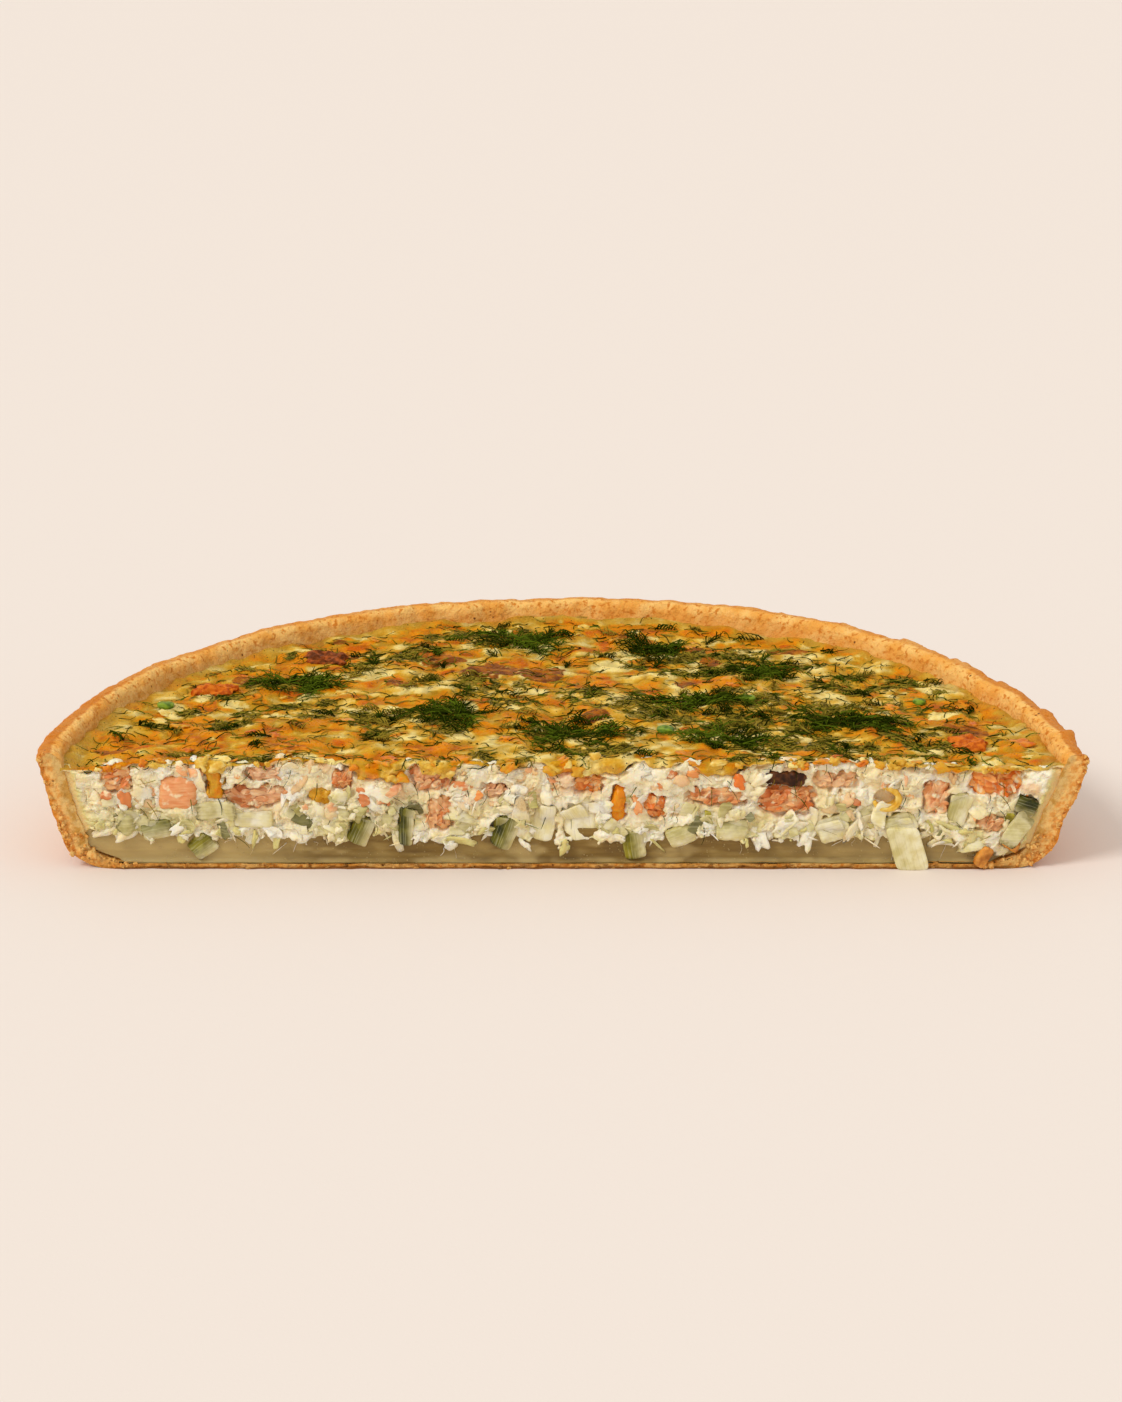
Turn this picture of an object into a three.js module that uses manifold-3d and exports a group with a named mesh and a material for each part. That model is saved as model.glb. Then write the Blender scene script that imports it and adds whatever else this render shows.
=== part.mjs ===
// Half of a baked quiche with salmon, leek and dill, cut straight across its middle.
// A pastry shell holds a clear set base, a white curdled filling and a browned cheese top.
// The pieces that show at the cut or lie on the top are solids of their own, each in its pocket.
// Millimetres, +Z up. The cut face looks along -Y and the round side along +Y.
// The shapes are made whole and round and then cut in half, as the real quiche is.

import * as THREE from "three";
import { mergeVertices } from "three/addons/utils/BufferGeometryUtils.js";
import Module from "manifold-3d";

const wasm = await Module();
wasm.setup();

// Driving dimensions
const RIM_RADIUS = 125;
const RIM_HEIGHT = 29.6;
const FOOT_RADIUS = 109;
const BASE_THICKNESS = 1.4;
const WALL_THICKNESS = 5.6;
const WALL_FOOT_HEIGHT = 7;
const WALL_LEAN = 6.6;
const RIGHT_SIDE_LEAN = 3;
const SET_BASE_HEIGHT = 8.2;
const CHEESE_THICKNESS = 2.2;
const TOP_AT_EDGE = 24.4;
const TOP_DOME = 2;
const TOP_LIFT_AT_CUT = 1.2;
const GAP = 0.3;
const FLATNESS = 0.07;
// The origin is under the middle of the half quiche, this far behind the cut.
const ORIGIN_BEHIND_CUT = 61.4;

// Derived sizes
const FOOT_WALL_RADIUS = RIM_RADIUS - WALL_LEAN;
const INNER_RADIUS = RIM_RADIUS - WALL_THICKNESS;
const REACH = RIM_RADIUS + 6;

// Small helpers

const smoothstep = THREE.MathUtils.smoothstep;
const lerp = THREE.MathUtils.lerp;

// A fixed value from 0 to 1 for each lattice point and seed
function lattice(i, j, seed) {
  let h = Math.imul(i, 374761393) + Math.imul(j, 668265263) + Math.imul(seed, 974634777);
  h = Math.imul(h ^ (h >>> 13), 1274126177);
  return ((h ^ (h >>> 16)) >>> 0) / 4294967295;
}

// Smooth noise from -1 to 1, with about one bump for each unit of u and v
function noise(u, v, seed) {
  const i = Math.floor(u);
  const j = Math.floor(v);
  const s = smoothstep(u - i, 0, 1);
  const t = smoothstep(v - j, 0, 1);
  const near = lerp(lattice(i, j, seed), lattice(i + 1, j, seed), s);
  const far = lerp(lattice(i, j + 1, seed), lattice(i + 1, j + 1, seed), s);
  return 2 * lerp(near, far, t) - 1;
}

// A repeatable stream of random numbers from 0 to 1
function randomStream(seed) {
  let count = 0;
  return () => lattice(++count, seed, 77);
}

function steps(from, to, count) {
  return Array.from({ length: count + 1 }, (_, i) => lerp(from, to, i / count));
}

// Moves each vertex of a geometry to where move(point) puts it
function displaced(geometry, move) {
  const position = geometry.getAttribute("position");
  const point = new THREE.Vector3();
  for (let i = 0; i < position.count; i++) {
    point.fromBufferAttribute(position, i);
    move(point);
    position.setXYZ(i, point.x, point.y, point.z);
  }
  return geometry;
}

// A closed three.js geometry as a solid that can be cut and joined
function solid(geometry) {
  const bare = geometry.clone();
  bare.deleteAttribute("normal");
  bare.deleteAttribute("uv");
  const merged = mergeVertices(bare, 1e-4);
  const index = merged.index.array;
  const faces = [];
  for (let i = 0; i < index.length; i += 3) {
    const [a, b, c] = [index[i], index[i + 1], index[i + 2]];
    if (a !== b && b !== c && c !== a) faces.push(a, b, c);
  }
  const mesh = new wasm.Mesh({
    numProp: 3,
    vertProperties: new Float32Array(merged.getAttribute("position").array),
    triVerts: new Uint32Array(faces),
  });
  return new wasm.Manifold(mesh);
}

// A solid as a named three.js mesh, without any loose scrap that a cut left.
// Faces that lie within FLATNESS of one plane are joined.
function meshOf(name, shape, material) {
  const largest = shape.decompose().sort((a, b) => b.volume() - a.volume())[0];
  const made = largest.asOriginal().simplify(FLATNESS).getMesh();
  const geometry = new THREE.BufferGeometry();
  geometry.setAttribute("position", new THREE.BufferAttribute(made.vertProperties, 3));
  geometry.setIndex(new THREE.BufferAttribute(made.triVerts, 1));
  geometry.computeVertexNormals();
  const mesh = new THREE.Mesh(geometry, material);
  mesh.name = name;
  return mesh;
}

// A closed slab between two height fields over the grid lines us and vs
function sheetSolid(us, vs, low, high) {
  const points = [];
  for (const height of [low, high]) {
    for (const v of vs) for (const u of us) points.push(u, v, height(u, v));
  }
  const [nu, nv] = [us.length, vs.length];
  const at = (level, i, j) => level * nu * nv + j * nu + i;
  const faces = [];
  for (let j = 0; j < nv - 1; j++) {
    for (let i = 0; i < nu - 1; i++) {
      const quad = (level) => [at(level, i, j), at(level, i + 1, j), at(level, i + 1, j + 1), at(level, i, j + 1)];
      const [a, b, c, d] = quad(1);
      const [e, f, g, h] = quad(0);
      faces.push(a, b, c, a, c, d, e, g, f, e, h, g);
    }
  }
  const wall = (p, q) => faces.push(p, q, q + nu * nv, p, q + nu * nv, p + nu * nv);
  for (let i = 0; i < nu - 1; i++) {
    wall(at(0, i, 0), at(0, i + 1, 0));
    wall(at(0, i + 1, nv - 1), at(0, i, nv - 1));
  }
  for (let j = 0; j < nv - 1; j++) {
    wall(at(0, nu - 1, j), at(0, nu - 1, j + 1));
    wall(at(0, 0, j + 1), at(0, 0, j));
  }
  const geometry = new THREE.BufferGeometry();
  geometry.setAttribute("position", new THREE.Float32BufferAttribute(points, 3));
  geometry.setIndex(faces);
  return geometry;
}

// Everything behind an uneven cut. forward(x, z) is how far the face stands out towards the viewer.
function behindCut(columns, rows, forward) {
  const xs = steps(-REACH, REACH, columns);
  const zs = steps(-4, RIM_HEIGHT + 8, rows);
  return solid(sheetSolid(xs, zs, () => -REACH, forward).rotateX(Math.PI / 2));
}

// The shell's unevenness: a wavy rim, and a right side that leans out more than the left

function bakedUneven(point) {
  const angle = Math.atan2(point.y, point.x);
  const radius = Math.hypot(point.x, point.y);
  if (radius < 1) return;
  const high = smoothstep(point.z, 12, RIM_HEIGHT);
  const outer = smoothstep(radius, FOOT_RADIUS - 12, FOOT_RADIUS + 4);
  const around = angle * 9;
  const rightSide = 0.5 + 0.5 * Math.cos(angle);
  const lean = -RIGHT_SIDE_LEAN * rightSide * (1 - point.z / RIM_HEIGHT);
  const bulge = 0.5 * noise(around, point.z / 9, 3) + 0.5 * high * noise(around * 2.3, 1.5, 4);
  const grown = radius + outer * (lean + bulge);
  const rise = high * (0.5 * noise(around * 0.8, 5.5, 5) + 0.35 * noise(around * 2.6, 6.5, 6) - 0.9 * rightSide);
  point.set((point.x / radius) * grown, (point.y / radius) * grown, point.z + rise);
}

// Adds count evenly spaced points of a straight stretch to a profile path
function straightTo(path, radius, height, count) {
  const from = path.currentPoint.clone();
  for (const t of steps(0, 1, count).slice(1)) {
    path.lineTo(lerp(from.x, radius, t), lerp(from.y, height, t));
  }
}

function turned(profile) {
  const whole = new THREE.LatheGeometry(profile, 96).rotateX(Math.PI / 2);
  return solid(displaced(whole, bakedUneven));
}

// The inside of the shell from the floor's edge up to just under the rim, drawn in by gap
function innerWall(gap) {
  const foot = FOOT_WALL_RADIUS - WALL_THICKNESS - gap;
  const path = new THREE.Path();
  path.moveTo(FOOT_RADIUS - 4 - gap, BASE_THICKNESS + gap);
  path.quadraticCurveTo(foot - 1, BASE_THICKNESS + gap, foot, WALL_FOOT_HEIGHT + 1);
  straightTo(path, INNER_RADIUS - gap, RIM_HEIGHT - 2, 2);
  return path.getPoints(2);
}

function wholeShell() {
  const path = new THREE.Path();
  path.moveTo(0, 0);
  path.lineTo(FOOT_RADIUS, 0);
  path.quadraticCurveTo(FOOT_WALL_RADIUS - 1.6, 0, FOOT_WALL_RADIUS, WALL_FOOT_HEIGHT);
  straightTo(path, RIM_RADIUS, RIM_HEIGHT - 1.4, 2);
  path.quadraticCurveTo(RIM_RADIUS + 0.2, RIM_HEIGHT, RIM_RADIUS - 2.4, RIM_HEIGHT);
  path.quadraticCurveTo(INNER_RADIUS + 0.4, RIM_HEIGHT, INNER_RADIUS, RIM_HEIGHT - 2);
  const centre = new THREE.Vector2(0, BASE_THICKNESS);
  return turned([...path.getPoints(2), ...innerWall(0).reverse().slice(1), centre]);
}

// All that lies outside the room in the shell, with the shell itself a gap thicker on its inside
function shellAndBeyond() {
  const above = RIM_HEIGHT + 8;
  return turned([
    new THREE.Vector2(0, -6),
    new THREE.Vector2(REACH + 8, -6),
    new THREE.Vector2(REACH + 8, above),
    new THREE.Vector2(INNER_RADIUS - GAP, above),
    ...innerWall(GAP).reverse(),
    new THREE.Vector2(0, BASE_THICKNESS + GAP),
  ]);
}

// Levels of the layers

function topLevel(x, y) {
  const radius = Math.hypot(x, y);
  const dome = TOP_DOME * (1 - (radius / INNER_RADIUS) ** 2);
  const lift = TOP_LIFT_AT_CUT * Math.exp(-Math.max(y, 0) / 18);
  const relief = 0.7 * noise(x / 11, y / 11, 11) + 0.5 * noise(x / 5.5, y / 5.5, 12);
  return TOP_AT_EDGE + dome + lift + relief;
}

// Uneven only near the cut, where it can be seen: 1 at the cut and 0 from 10 mm behind it
const nearCut = (y) => THREE.MathUtils.clamp((10 - y) / 6, 0, 1);

function underCheese(x, y) {
  const ragged = 0.8 * noise(x / 7, 2.5, 21) + 1.4;
  return TOP_AT_EDGE - CHEESE_THICKNESS - 1 + nearCut(y) * ragged;
}

function setBaseLevel(x, y) {
  const ragged = 0.9 * noise(x / 9, 3.5, 22) + 0.7 * noise(x / 4, 4.5, 23);
  const dip = 2.4 * smoothstep(Math.abs(x), 92, 112);
  return SET_BASE_HEIGHT + nearCut(y) * (ragged + dip);
}

const COLUMNS = steps(-REACH, REACH, 44);
const HIDDEN_ROWS = [-8, 0, 4, 10, REACH];
const TOP_ROWS = [-8, 0, 4, 10, ...steps(16, REACH, 18)];

// Pieces that show at the cut: where the middle is, how wide and tall, and how far it is turned.
// across is from the middle of the cut, up from the table, and out is how far it stands out.

const SALMON = [
  { across: -106.1, up: 22.4, wide: 8, tall: 5, turn: -25 },
  { across: -91.9, up: 18.8, wide: 8.4, tall: 8.6, turn: 6 },
  { across: -71.6, up: 24.2, wide: 9, tall: 3.6, turn: -4 },
  { across: -73.6, up: 18.4, wide: 17.6, tall: 5.6, turn: -3 },
  { across: -52.4, up: 22.6, wide: 5.4, tall: 5, turn: 30 },
  { across: -30.4, up: 22.6, wide: 12, tall: 6.4, turn: 14 },
  { across: -28.6, up: 13.6, wide: 6.6, tall: 9.6, turn: -16 },
  { across: -15.7, up: 20, wide: 7.2, tall: 4.6, turn: -10 },
  { across: 6.7, up: 21.2, wide: 9, tall: 5.6, turn: 2 },
  { across: 23.2, up: 15.6, wide: 3.6, tall: 8, turn: 32 },
  { across: 37.4, up: 18, wide: 15.4, tall: 5, turn: 4 },
  { across: 54.2, up: 17.2, wide: 17, tall: 6.4, turn: 14 },
  { across: 66, up: 22.4, wide: 11, tall: 4, turn: -12 },
  { across: 90.5, up: 18, wide: 7.6, tall: 8.4, turn: -18 },
  { across: 105.6, up: 21.6, wide: 14.4, tall: 5.4, turn: 12 },
  { across: 103.6, up: 11.2, wide: 7.4, tall: 6.2, turn: 10 },
];

const LEEK = [
  { across: -96.8, up: 10.4, wide: 7, tall: 3.4, turn: -12, bend: 0.8 },
  { across: -85.4, up: 6.6, wide: 6.4, tall: 3.6, turn: -38, bend: 1.2 },
  { across: -73.8, up: 12.4, wide: 9, tall: 3.4, turn: 4, bend: 0.6 },
  { across: -47.6, up: 9.4, wide: 3.2, tall: 7.4, turn: -28, bend: 0.4 },
  { across: -36.8, up: 10.8, wide: 3.4, tall: 9.4, turn: -3, bend: 0.3 },
  { across: -12.4, up: 9.6, wide: 3.4, tall: 8.6, turn: 24, bend: 0.8 },
  { across: -3.2, up: 11.8, wide: 5, tall: 10.4, turn: 6, bend: 0.5 },
  { across: 5.2, up: 12, wide: 7.6, tall: 10.6, turn: 10, bend: 0.6 },
  { across: 18.2, up: 5.6, wide: 4.4, tall: 6.4, turn: -8, bend: 0.3 },
  { across: 29.6, up: 9, wide: 6.4, tall: 3.8, turn: -24, bend: 0.9 },
  { across: 41.6, up: 9, wide: 7.4, tall: 3.8, turn: 2, bend: -1.2 },
  { across: 66.2, up: 10.4, wide: 7.2, tall: 5.6, turn: -20, bend: 0.7 },
  { across: 82, up: 11.8, wide: 8.4, tall: 3, turn: -22, bend: 0.7 },
  { across: 96.4, up: 15, wide: 3.6, tall: 8, turn: -20, bend: 0.5 },
  { across: 112, up: 16.4, wide: 7, tall: 2.6, turn: 22, bend: 0.4 },
];

// The long strip of leek that hangs down over the crust to the table
const HANGING_LEEK = { across: 84.4, up: 5.4, wide: 8.6, tall: 9.4, turn: 8, bend: 0.5, out: 2.2, deep: 1.4 };

const CHEESE = [
  { across: -82.9, up: 21.6, wide: 4.4, tall: 7.6, turn: -8 },
  { across: -57.4, up: 18.6, wide: 5.6, tall: 4.6, turn: 10 },
  { across: 14, up: 16.6, wide: 4, tall: 8.6, turn: 8 },
  { across: 78.8, up: 17.6, wide: 5.6, tall: 5.4, turn: 20 },
];

const MUSHROOM = { across: 54.4, up: 22.7, wide: 10.4, tall: 3.4, turn: -5 };

const ONION = [
  { across: 109.6, up: 6.6, wide: 5, tall: 4, turn: 20 },
  { across: 102, up: 3.2, wide: 2.6, tall: 5.4, turn: -34, out: 2.5, deep: 1.9 },
];

const CUT_PIECE = { out: 1.1, deep: 6 };

// Puts a shape made round the origin in its place at the cut
function placedAtCut(geometry, piece) {
  const { out, deep } = { ...CUT_PIECE, ...piece };
  return geometry
    .rotateY(THREE.MathUtils.degToRad(-piece.turn))
    .translate(piece.across, deep / 2 - out, piece.up);
}

// A rough block with its corners drawn in and its middle swollen, of the given half sizes
function lump(halfX, halfY, halfZ, seed, grow) {
  return displaced(new THREE.BoxGeometry(2, 2, 2, 2, 2, 2), (p) => {
    const rough = 1 + 0.14 * noise(p.x * 2 + 5, p.z * 2 + p.y * 2, seed);
    const corners = Math.abs(p.x) + Math.abs(p.y) + Math.abs(p.z);
    const drawn = 1 - 0.13 * (corners - 1);
    p.x *= halfX * rough * drawn + grow;
    p.y *= halfY * (0.6 + 0.4 * drawn) + grow;
    p.z *= halfZ * rough * drawn + grow;
  });
}

// A flake of fish or a lump of cheese. grow makes its pocket.
function flake(piece, seed, grow = 0) {
  const { deep } = { ...CUT_PIECE, ...piece };
  return placedAtCut(lump(piece.wide / 2, deep / 2, piece.tall / 2, seed, grow), piece);
}

// A slice of leek: a flat strip, bent along its length. grow makes its pocket.
function strip(piece, seed, grow = 0) {
  const { deep } = { ...CUT_PIECE, ...piece };
  const long = Math.max(piece.wide, piece.tall) / 2;
  const lies = piece.wide >= piece.tall;
  const box = new THREE.BoxGeometry(2, 2, 2, lies ? 4 : 1, 1, lies ? 1 : 4);
  const bent = displaced(box, (p) => {
    const along = lies ? p.x : p.z;
    const sag = -piece.bend * along * along + 0.25 * noise(along * 2, p.y, seed);
    const taper = 1 - 0.12 * Math.abs(along);
    p.x *= piece.wide / 2 + grow;
    p.z *= piece.tall / 2 + grow;
    p.y *= (deep / 2) * taper + grow;
    if (lies) p.z += sag;
    else p.x += sag;
    p.y += 0.35 * Math.sin((along * long) / 3 + seed);
  });
  return placedAtCut(bent, piece);
}

// Pieces baked into the top: where the middle is, and how long, broad and high each one is

const TOP_SALMON = [
  { across: 100, back: 17.5, long: 9, broad: 8, turn: 20 },
  { across: -89, back: 57, long: 12, broad: 7, turn: 10 },
  { across: -62, back: 83, long: 11, broad: 8, turn: -15 },
];

const TOP_GREENS = [
  { across: -99.5, back: 45, long: 4.4, broad: 2.6, turn: 35 },
  { across: 91, back: 49, long: 3.8, broad: 3.6, turn: 0 },
  { across: 47, back: 48, long: 5.4, broad: 2.4, turn: 12 },
  { across: 26, back: 25, long: 4.2, broad: 3, turn: 40 },
];

function topPiece(piece, height, seed, grow = 0) {
  const level = topLevel(piece.across, piece.back);
  return lump(piece.long / 2, piece.broad / 2, height / 2, seed, grow)
    .rotateZ(THREE.MathUtils.degToRad(piece.turn))
    .translate(piece.across, piece.back, level + height * 0.12);
}

// Tufts of dill on the top: where the middle is, how far the fronds reach, and which way most lie

const DILL = [
  { across: -9, back: 97, reach: 8, turn: 10 },
  { across: 26, back: 91, reach: 7.5, turn: -10 },
  { across: 52, back: 71, reach: 10.5, turn: -5 },
  { across: 35, back: 48, reach: 11.5, turn: 8 },
  { across: 73, back: 31, reach: 14, turn: -12 },
  { across: 40, back: 16.5, reach: 11, turn: 10 },
  { across: 3, back: 20, reach: 10, turn: -25 },
  { across: -26, back: 35, reach: 8.5, turn: -18 },
  { across: -66, back: 63, reach: 9, turn: 12 },
];

const FROND = { broad: 1.6, thick: 1, count: 4 };
const TUFT_HEIGHT = 1.6;

// A low tuft with fronds that fan out of it, lying on the top
function tuft(dill, seed) {
  const random = randomStream(seed);
  const level = topLevel(dill.across, dill.back);
  const middle = displaced(new THREE.IcosahedronGeometry(1, 0), (p) => {
    p.set(p.x * dill.reach * 0.45, p.y * dill.reach * 0.3, p.z * TUFT_HEIGHT);
  });
  middle.rotateZ(THREE.MathUtils.degToRad(dill.turn));
  let shape = solid(middle.translate(dill.across, dill.back, level + 0.5));
  for (let i = 0; i < FROND.count; i++) {
    const side = i % 2 ? 0 : Math.PI;
    const heading = THREE.MathUtils.degToRad(dill.turn) + side + (random() - 0.5) * 1.7;
    const length = dill.reach * (0.7 + 0.3 * random());
    const frond = displaced(new THREE.BoxGeometry(length, FROND.broad, FROND.thick, 2, 1, 1), (p) => {
      const along = p.x / length + 0.5;
      p.x += length / 2;
      p.y = p.y * (1 - 0.55 * along) + 0.8 * Math.sin(along * 3 + i);
      p.z += 1.3 * Math.sin(along * 2.4);
    });
    frond.rotateZ(heading).translate(dill.across, dill.back, 0);
    displaced(frond, (p) => {
      p.z += topLevel(p.x, p.y) + 0.4;
    });
    shape = shape.add(solid(frond));
  }
  return shape;
}

// Shreds of herb that are baked into the cheese, as low ridges spread evenly over it

const SHRED = { long: 6.5, broad: 1.5, spacing: 21, seed: 900 };

function shredAt(x, y, heading) {
  const ridge = new THREE.BoxGeometry(SHRED.long, SHRED.broad, 2);
  ridge.rotateZ(heading).translate(x, y, 0);
  return solid(displaced(ridge, (p) => {
    p.z += topLevel(p.x, p.y) - 0.45;
  }));
}

function shreds(isClear) {
  const random = randomStream(SHRED.seed);
  const found = [];
  for (let y = 8; y < INNER_RADIUS; y += SHRED.spacing) {
    for (let x = -INNER_RADIUS; x < INNER_RADIUS; x += SHRED.spacing) {
      const px = x + (random() - 0.5) * 9;
      const py = y + (random() - 0.5) * 9;
      const heading = (random() - 0.5) * 2.4;
      const inside = Math.hypot(px, py) < INNER_RADIUS - 7 && py > 5;
      if (inside && isClear(px, py)) found.push(shredAt(px, py, heading));
    }
  }
  return found;
}

const apart = (list, x, y, room) =>
  list.every((p) => Math.hypot(p.across - x, p.back - y) > room(p));

const clearOfPieces = (x, y) =>
  apart(DILL, x, y, (p) => p.reach + SHRED.long / 2 + 1) &&
  apart([...TOP_SALMON, ...TOP_GREENS], x, y, (p) => p.long / 2 + SHRED.long / 2 + 1);

// How far each layer stands out at the cut

const crumbly = (x, z) => 0.3 * noise(x / 3.2, z / 3.2, 31);
const cleanSliced = (x, z) => -0.7 + 0.15 * noise(x / 9, z / 3, 32);
const torn = (x, z) => 1.4 * noise(x / 5.2, z / 4.6, 33) + 0.6 * noise(x / 2.6, z / 2.6, 34);
const curdled = (x, z) => Math.min(0.7, 0.1 + torn(x, z));
const meltedEdge = (x, z) => 0.3 + 0.6 * noise(x / 5, z / 4, 35);

// Materials

const material = (color, roughness) => new THREE.MeshStandardMaterial({ color, roughness, metalness: 0 });

const PASTRY = material(0xdc9a4a, 0.75);
const SET_BASE = material(0xa39a6b, 0.3);
const CURD = material(0xece5cc, 0.5);
const BROWNED_CHEESE = material(0xd69a35, 0.45);
const FISH = material(0xe08a63, 0.45);
const BAKED_FISH = material(0xc4622f, 0.5);
const LEEK_GREEN = material(0xb9c27a, 0.35);
const YELLOW_CHEESE = material(0xf0b64a, 0.4);
const DARK_SKIN = material(0x3f1d10, 0.5);
const AMBER_ONION = material(0xc8862f, 0.3);
const DILL_GREEN = material(0x2f5a1c, 0.6);
const FRESH_GREEN = material(0x4f8f2a, 0.45);

// The pieces at the cut, in the order in which the later ones make room for the earlier ones

const cutPieces = [
  { name: "leek_hanging", shape: strip, piece: HANGING_LEEK, material: LEEK_GREEN },
  { name: "onion_2", shape: flake, piece: ONION[1], material: AMBER_ONION },
  { name: "mushroom", shape: flake, piece: MUSHROOM, material: DARK_SKIN },
  ...SALMON.map((piece, i) => ({ name: `salmon_${i + 1}`, shape: flake, piece, material: FISH })),
  ...LEEK.map((piece, i) => ({ name: `leek_${i + 1}`, shape: strip, piece, material: LEEK_GREEN })),
  ...CHEESE.map((piece, i) => ({ name: `cheese_${i + 1}`, shape: flake, piece, material: YELLOW_CHEESE })),
  { name: "onion_1", shape: flake, piece: ONION[0], material: AMBER_ONION },
];

const topPieces = [
  ...TOP_SALMON.map((piece, i) => ({ name: `top_salmon_${i + 1}`, piece, height: 2.6, material: BAKED_FISH })),
  ...TOP_GREENS.map((piece, i) => ({ name: `top_green_${i + 1}`, piece, height: 1.8, material: FRESH_GREEN })),
];

// The parts that touch each other are cut a gap apart.
const union = (solids) => wasm.Manifold.union(solids);

function boxesMeet(a, b) {
  const [p, q] = [a.boundingBox(), b.boundingBox()];
  return [0, 1, 2].every((i) => p.min[i] < q.max[i] && q.min[i] < p.max[i]);
}

function less(shape, others) {
  const near = others.filter((other) => boxesMeet(shape, other));
  return near.length ? shape.subtract(union(near)) : shape;
}

const shell = wholeShell().intersect(behindCut(72, 10, crumbly));
const beyondRoom = shellAndBeyond();

const pockets = [];
for (const [i, entry] of cutPieces.entries()) {
  const hangsInFront = entry.piece.out !== undefined;
  const surround = hangsInFront ? shell.translate([0, -GAP, 0]) : beyondRoom;
  entry.body = less(solid(entry.shape(entry.piece, i)), [...pockets, surround]);
  pockets.push(solid(entry.shape(entry.piece, i, GAP)));
}
const topPockets = [];
for (const [i, entry] of topPieces.entries()) {
  entry.body = solid(topPiece(entry.piece, entry.height, 50 + i));
  topPockets.push(solid(topPiece(entry.piece, entry.height, 50 + i, GAP)));
}

const setBase = less(
  solid(sheetSolid(COLUMNS, HIDDEN_ROWS, () => 0, (x, y) => setBaseLevel(x, y) - GAP))
    .intersect(behindCut(28, 8, cleanSliced)),
  [...pockets, beyondRoom],
);

const filling = less(
  solid(sheetSolid(COLUMNS, HIDDEN_ROWS, setBaseLevel, (x, y) => underCheese(x, y) - GAP))
    .intersect(behindCut(80, 12, curdled)),
  [...pockets, ...topPockets, beyondRoom],
);

const bareTop = solid(sheetSolid(COLUMNS, TOP_ROWS, underCheese, topLevel));
const cheeseTop = less(
  union([bareTop, ...shreds(clearOfPieces)]).intersect(behindCut(44, 12, meltedEdge)),
  [...pockets, ...topPockets, beyondRoom],
);

const liftedTop = bareTop.translate([0, 0, GAP]);
const tufts = DILL.map((dill, i) => less(tuft(dill, 200 + i).subtract(liftedTop), topPockets));

// The quiche, with its origin under its middle

const quiche = new THREE.Group();
quiche.add(
  meshOf("crust", shell, PASTRY),
  meshOf("set_base", setBase, SET_BASE),
  meshOf("filling", filling, CURD),
  meshOf("cheese_top", cheeseTop, BROWNED_CHEESE),
  ...cutPieces.map((entry) => meshOf(entry.name, entry.body, entry.material)),
  ...topPieces.map((entry) => meshOf(entry.name, entry.body, entry.material)),
  ...tufts.map((shape, i) => meshOf(`dill_${i + 1}`, shape, DILL_GREEN)),
);
quiche.position.y = -ORIGIN_BEHIND_CUT;

const part = new THREE.Group();
part.add(quiche);

export default part;
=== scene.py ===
# The looks of half a baked quiche with salmon, leek and dill, cut straight across its middle.
# Shapes are worked out in millimetres in the quiche's own axes: x along the cut, y behind it, z up.
# placed() turns them into metres in the frame's axes.

import math

import bmesh
import bpy
import numpy as np
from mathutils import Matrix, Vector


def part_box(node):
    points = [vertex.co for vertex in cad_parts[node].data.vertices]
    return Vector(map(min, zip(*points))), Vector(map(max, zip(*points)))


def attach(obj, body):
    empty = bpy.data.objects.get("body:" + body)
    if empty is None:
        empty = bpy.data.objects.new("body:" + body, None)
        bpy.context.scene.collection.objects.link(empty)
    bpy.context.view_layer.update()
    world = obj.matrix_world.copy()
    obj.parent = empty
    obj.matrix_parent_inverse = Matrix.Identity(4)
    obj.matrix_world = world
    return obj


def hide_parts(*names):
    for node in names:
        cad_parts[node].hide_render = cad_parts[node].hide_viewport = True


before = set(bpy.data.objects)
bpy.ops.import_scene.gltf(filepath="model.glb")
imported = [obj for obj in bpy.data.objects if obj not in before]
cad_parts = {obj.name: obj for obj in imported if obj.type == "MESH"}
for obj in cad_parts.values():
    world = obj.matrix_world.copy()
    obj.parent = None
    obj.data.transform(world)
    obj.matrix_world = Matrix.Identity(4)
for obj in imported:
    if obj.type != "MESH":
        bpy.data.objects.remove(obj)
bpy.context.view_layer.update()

# Driving dimensions, as in the part's source

RIM_RADIUS = 125.0
RIM_HEIGHT = 29.6
FOOT_RADIUS = 109.0
BASE_THICKNESS = 1.4
WALL_THICKNESS = 5.6
WALL_FOOT_HEIGHT = 7.0
WALL_LEAN = 6.6
RIGHT_SIDE_LEAN = 3.0
SET_BASE_HEIGHT = 8.2
TOP_AT_EDGE = 24.4
TOP_DOME = 2.0
TOP_LIFT_AT_CUT = 1.2
FOOT_WALL_RADIUS = RIM_RADIUS - WALL_LEAN
INNER_RADIUS = RIM_RADIUS - WALL_THICKNESS
INNER_FOOT = FOOT_WALL_RADIUS - WALL_THICKNESS

# Where the quiche stands in the frame: its rim touches both ends and the back of the crust's box

crust_low, crust_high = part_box("crust")
MIDDLE_X = (crust_low.x + crust_high.x) / 2 * 1000
CUT_Y = (crust_high.y * 1000) - (crust_high.x - crust_low.x) / 2 * 1000


def placed(points):
    """Metres in the frame for millimetres in the quiche's axes."""
    return (np.asarray(points, float) + (MIDDLE_X, CUT_Y, 0.0)) / 1000


def node_box(node):
    """A node's lowest and highest corners in the quiche's axes, in millimetres."""
    low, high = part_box(node)
    shift = np.array((MIDDLE_X, CUT_Y, 0.0))
    return np.array(low) * 1000 - shift, np.array(high) * 1000 - shift


# Noise

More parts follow.
